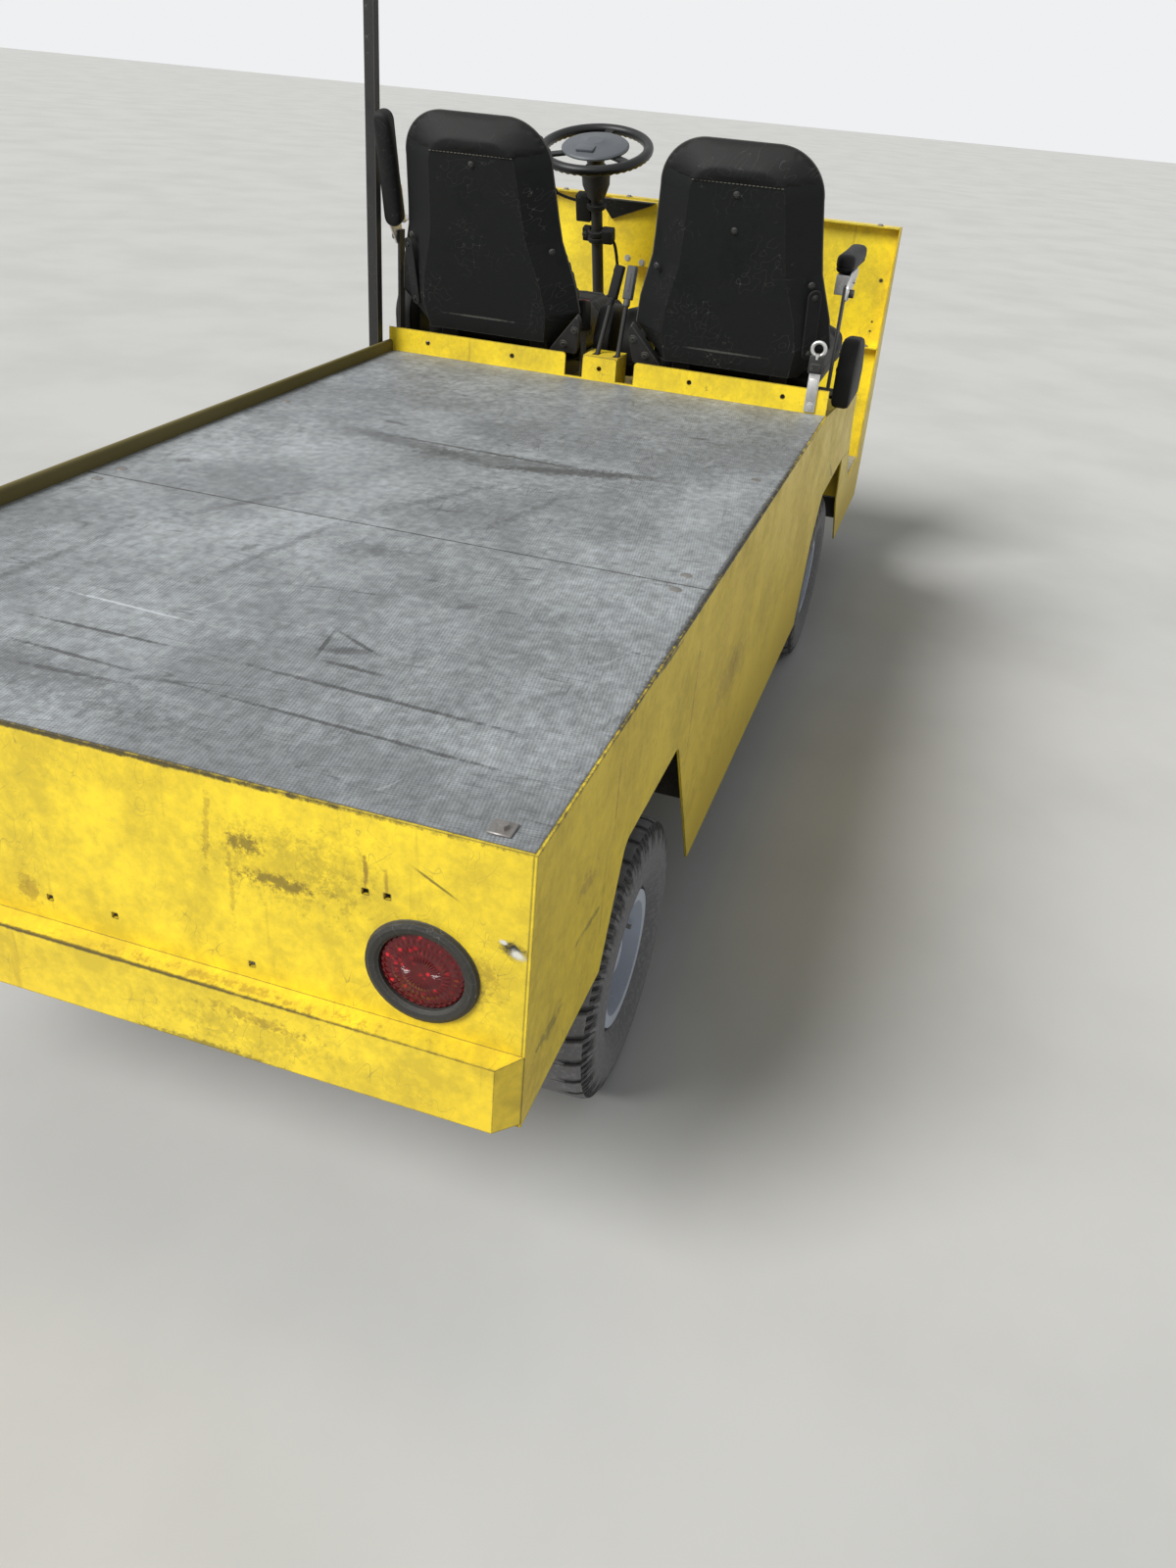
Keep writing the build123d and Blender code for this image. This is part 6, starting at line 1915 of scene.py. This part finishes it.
    def _mat(self) -> None:
        """Make the footwell's ribbed rubber mat."""
        shape = Shape()
        shape.box((0.985, -0.545, 0.380), (1.225, 0.545, 0.383))
        for rib in range(13):
            x = 0.996 + rib * 0.018
            shape.box((x - 0.003, -0.535, 0.3825), (x + 0.003, 0.535, 0.3852), soft=(0.001, 1))
        shape.piece("footwell_mat", MAT)

    def _springs(self) -> None:
        """Make the U-bolts and plates that hold the axles to their springs."""
        shape = Shape()
        for x in AXLE_X.values():
            for y in (self.spring_y, -self.spring_y):
                for dx in (-0.028, 0.028):
                    for dy in (-0.031, 0.031):
                        shape.rod((x + dx, y + dy, 0.190), (x + dx, y + dy, 0.315), 0.0045, 10)
                        shape.bolt(at(x + dx, y + dy, 0.300), 0.0075, 0.0095, 0.008)
                shape.box((x - 0.038, y - 0.038, 0.2945), (x + 0.038, y + 0.038, 0.300), soft=(0.0015, 1))
        shape.piece("spring_clamps", BLACK_STEEL)


# ---- studio


@dataclass
class Studio:
    """Pale floor, soft light and the camera at the photograph's view."""

    floor: float = 40.0
    surround: Colour = (0.93, 0.97, 1.0, 1.0)
    surround_strength: float = 0.28
    backdrop: Colour = (0.86, 0.87, 0.88, 1.0)
    key_from: Point = (-0.60, 0.45, 0.64)
    key_angle: float = 0.5
    key_strength: float = 3.6
    focal: float = 1227.1
    height: int = 1600
    position: Point = (-2.6131, -0.8632, 1.4496)
    yaw: float = 0.2699
    pitch: float = 0.5445
    roll: float = 0.088

    def build(self) -> None:
        """Make the floor, the world, the light and the camera."""
        self._floor()
        self._world()
        self._key()
        self._camera()
        bpy.context.scene.view_settings.view_transform = "Standard"

    def _floor(self) -> None:
        """Make the floor: a large sheet of pale, faintly mottled screed."""
        mesh = bpy.data.meshes.new("floor")
        bm = bmesh.new()
        bmesh.ops.create_grid(bm, x_segments=8, y_segments=8, size=self.floor)
        bm.to_mesh(mesh)
        bm.free()
        floor = add_object("floor", mesh)
        material = bpy.data.materials.new("screed")
        material.use_nodes = True
        g = Graph(material.node_tree)
        mottle = g.remap(g.noise(g.place(), 1.4, 6.0), 0.35, 0.7)
        g.show("Base Color", g.mix(mottle, srgb(206, 205, 201), srgb(198, 197, 193)))
        g.show("Roughness", 0.9)
        floor.data.materials.append(material)

    def _world(self) -> None:
        """Light evenly from all round, and show a pale background to the camera."""
        world = bpy.data.worlds.new("studio")
        world.use_nodes = True
        bpy.context.scene.world = world
        tree = world.node_tree
        tree.nodes.clear()
        g = Graph(tree)
        light = g.add("Background", {"Color": self.surround, "Strength": self.surround_strength})
        seen = g.add("Background", {"Color": self.backdrop, "Strength": 1.0})
        rays = g.add("LightPath").outputs
        mirrored = g.math("MAXIMUM", rays["Is Glossy Ray"], rays["Is Transmission Ray"])
        shown = g.math("MAXIMUM", rays["Is Camera Ray"], mirrored)
        mixed = g.add("MixShader", {0: shown, 1: light.outputs[0], 2: seen.outputs[0]})
        g.add("OutputWorld", {"Surface": mixed.outputs[0]})

    def _key(self) -> None:
        """Add soft light that falls from behind the vehicle's left."""
        light = bpy.data.lights.new("key", "SUN")
        light.angle = self.key_angle
        light.energy = self.key_strength
        add_object("key", light).matrix_world = facing((0.0, 0.0, 5.0), self.key_from)

    def _camera(self) -> None:
        """Stand the camera where the photograph was taken."""
        lens = bpy.data.cameras.new("camera")
        lens.sensor_fit = "VERTICAL"
        lens.sensor_height = lens.sensor_width = 36.0
        lens.lens = 36.0 * self.focal / self.height
        camera = bpy.context.scene.camera = add_object("camera", lens)
        level, drop = math.cos(self.pitch), math.sin(self.pitch)
        ahead = Vector((math.cos(self.yaw) * level, math.sin(self.yaw) * level, -drop))
        right = Vector((math.sin(self.yaw), -math.cos(self.yaw), 0.0))
        upward = right.cross(ahead)
        level_right = right * math.cos(self.roll) + upward * math.sin(self.roll)
        level_up = upward * math.cos(self.roll) - right * math.sin(self.roll)
        turn = Matrix((level_right, level_up, -ahead)).transposed().to_4x4()
        camera.matrix_world = Matrix.Translation(self.position) @ turn


def main() -> None:
    """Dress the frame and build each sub-assembly."""
    logging.basicConfig(level=logging.INFO, format="%(message)s")
    dress_nodes()
    for assembly in (Wheels(), Seat(Side.LEFT), Seat(Side.RIGHT), Controls(), Body(), Studio()):
        LOG.info("building %s", type(assembly).__name__)
        assembly.build()


if __name__ == "__main__":
    main()
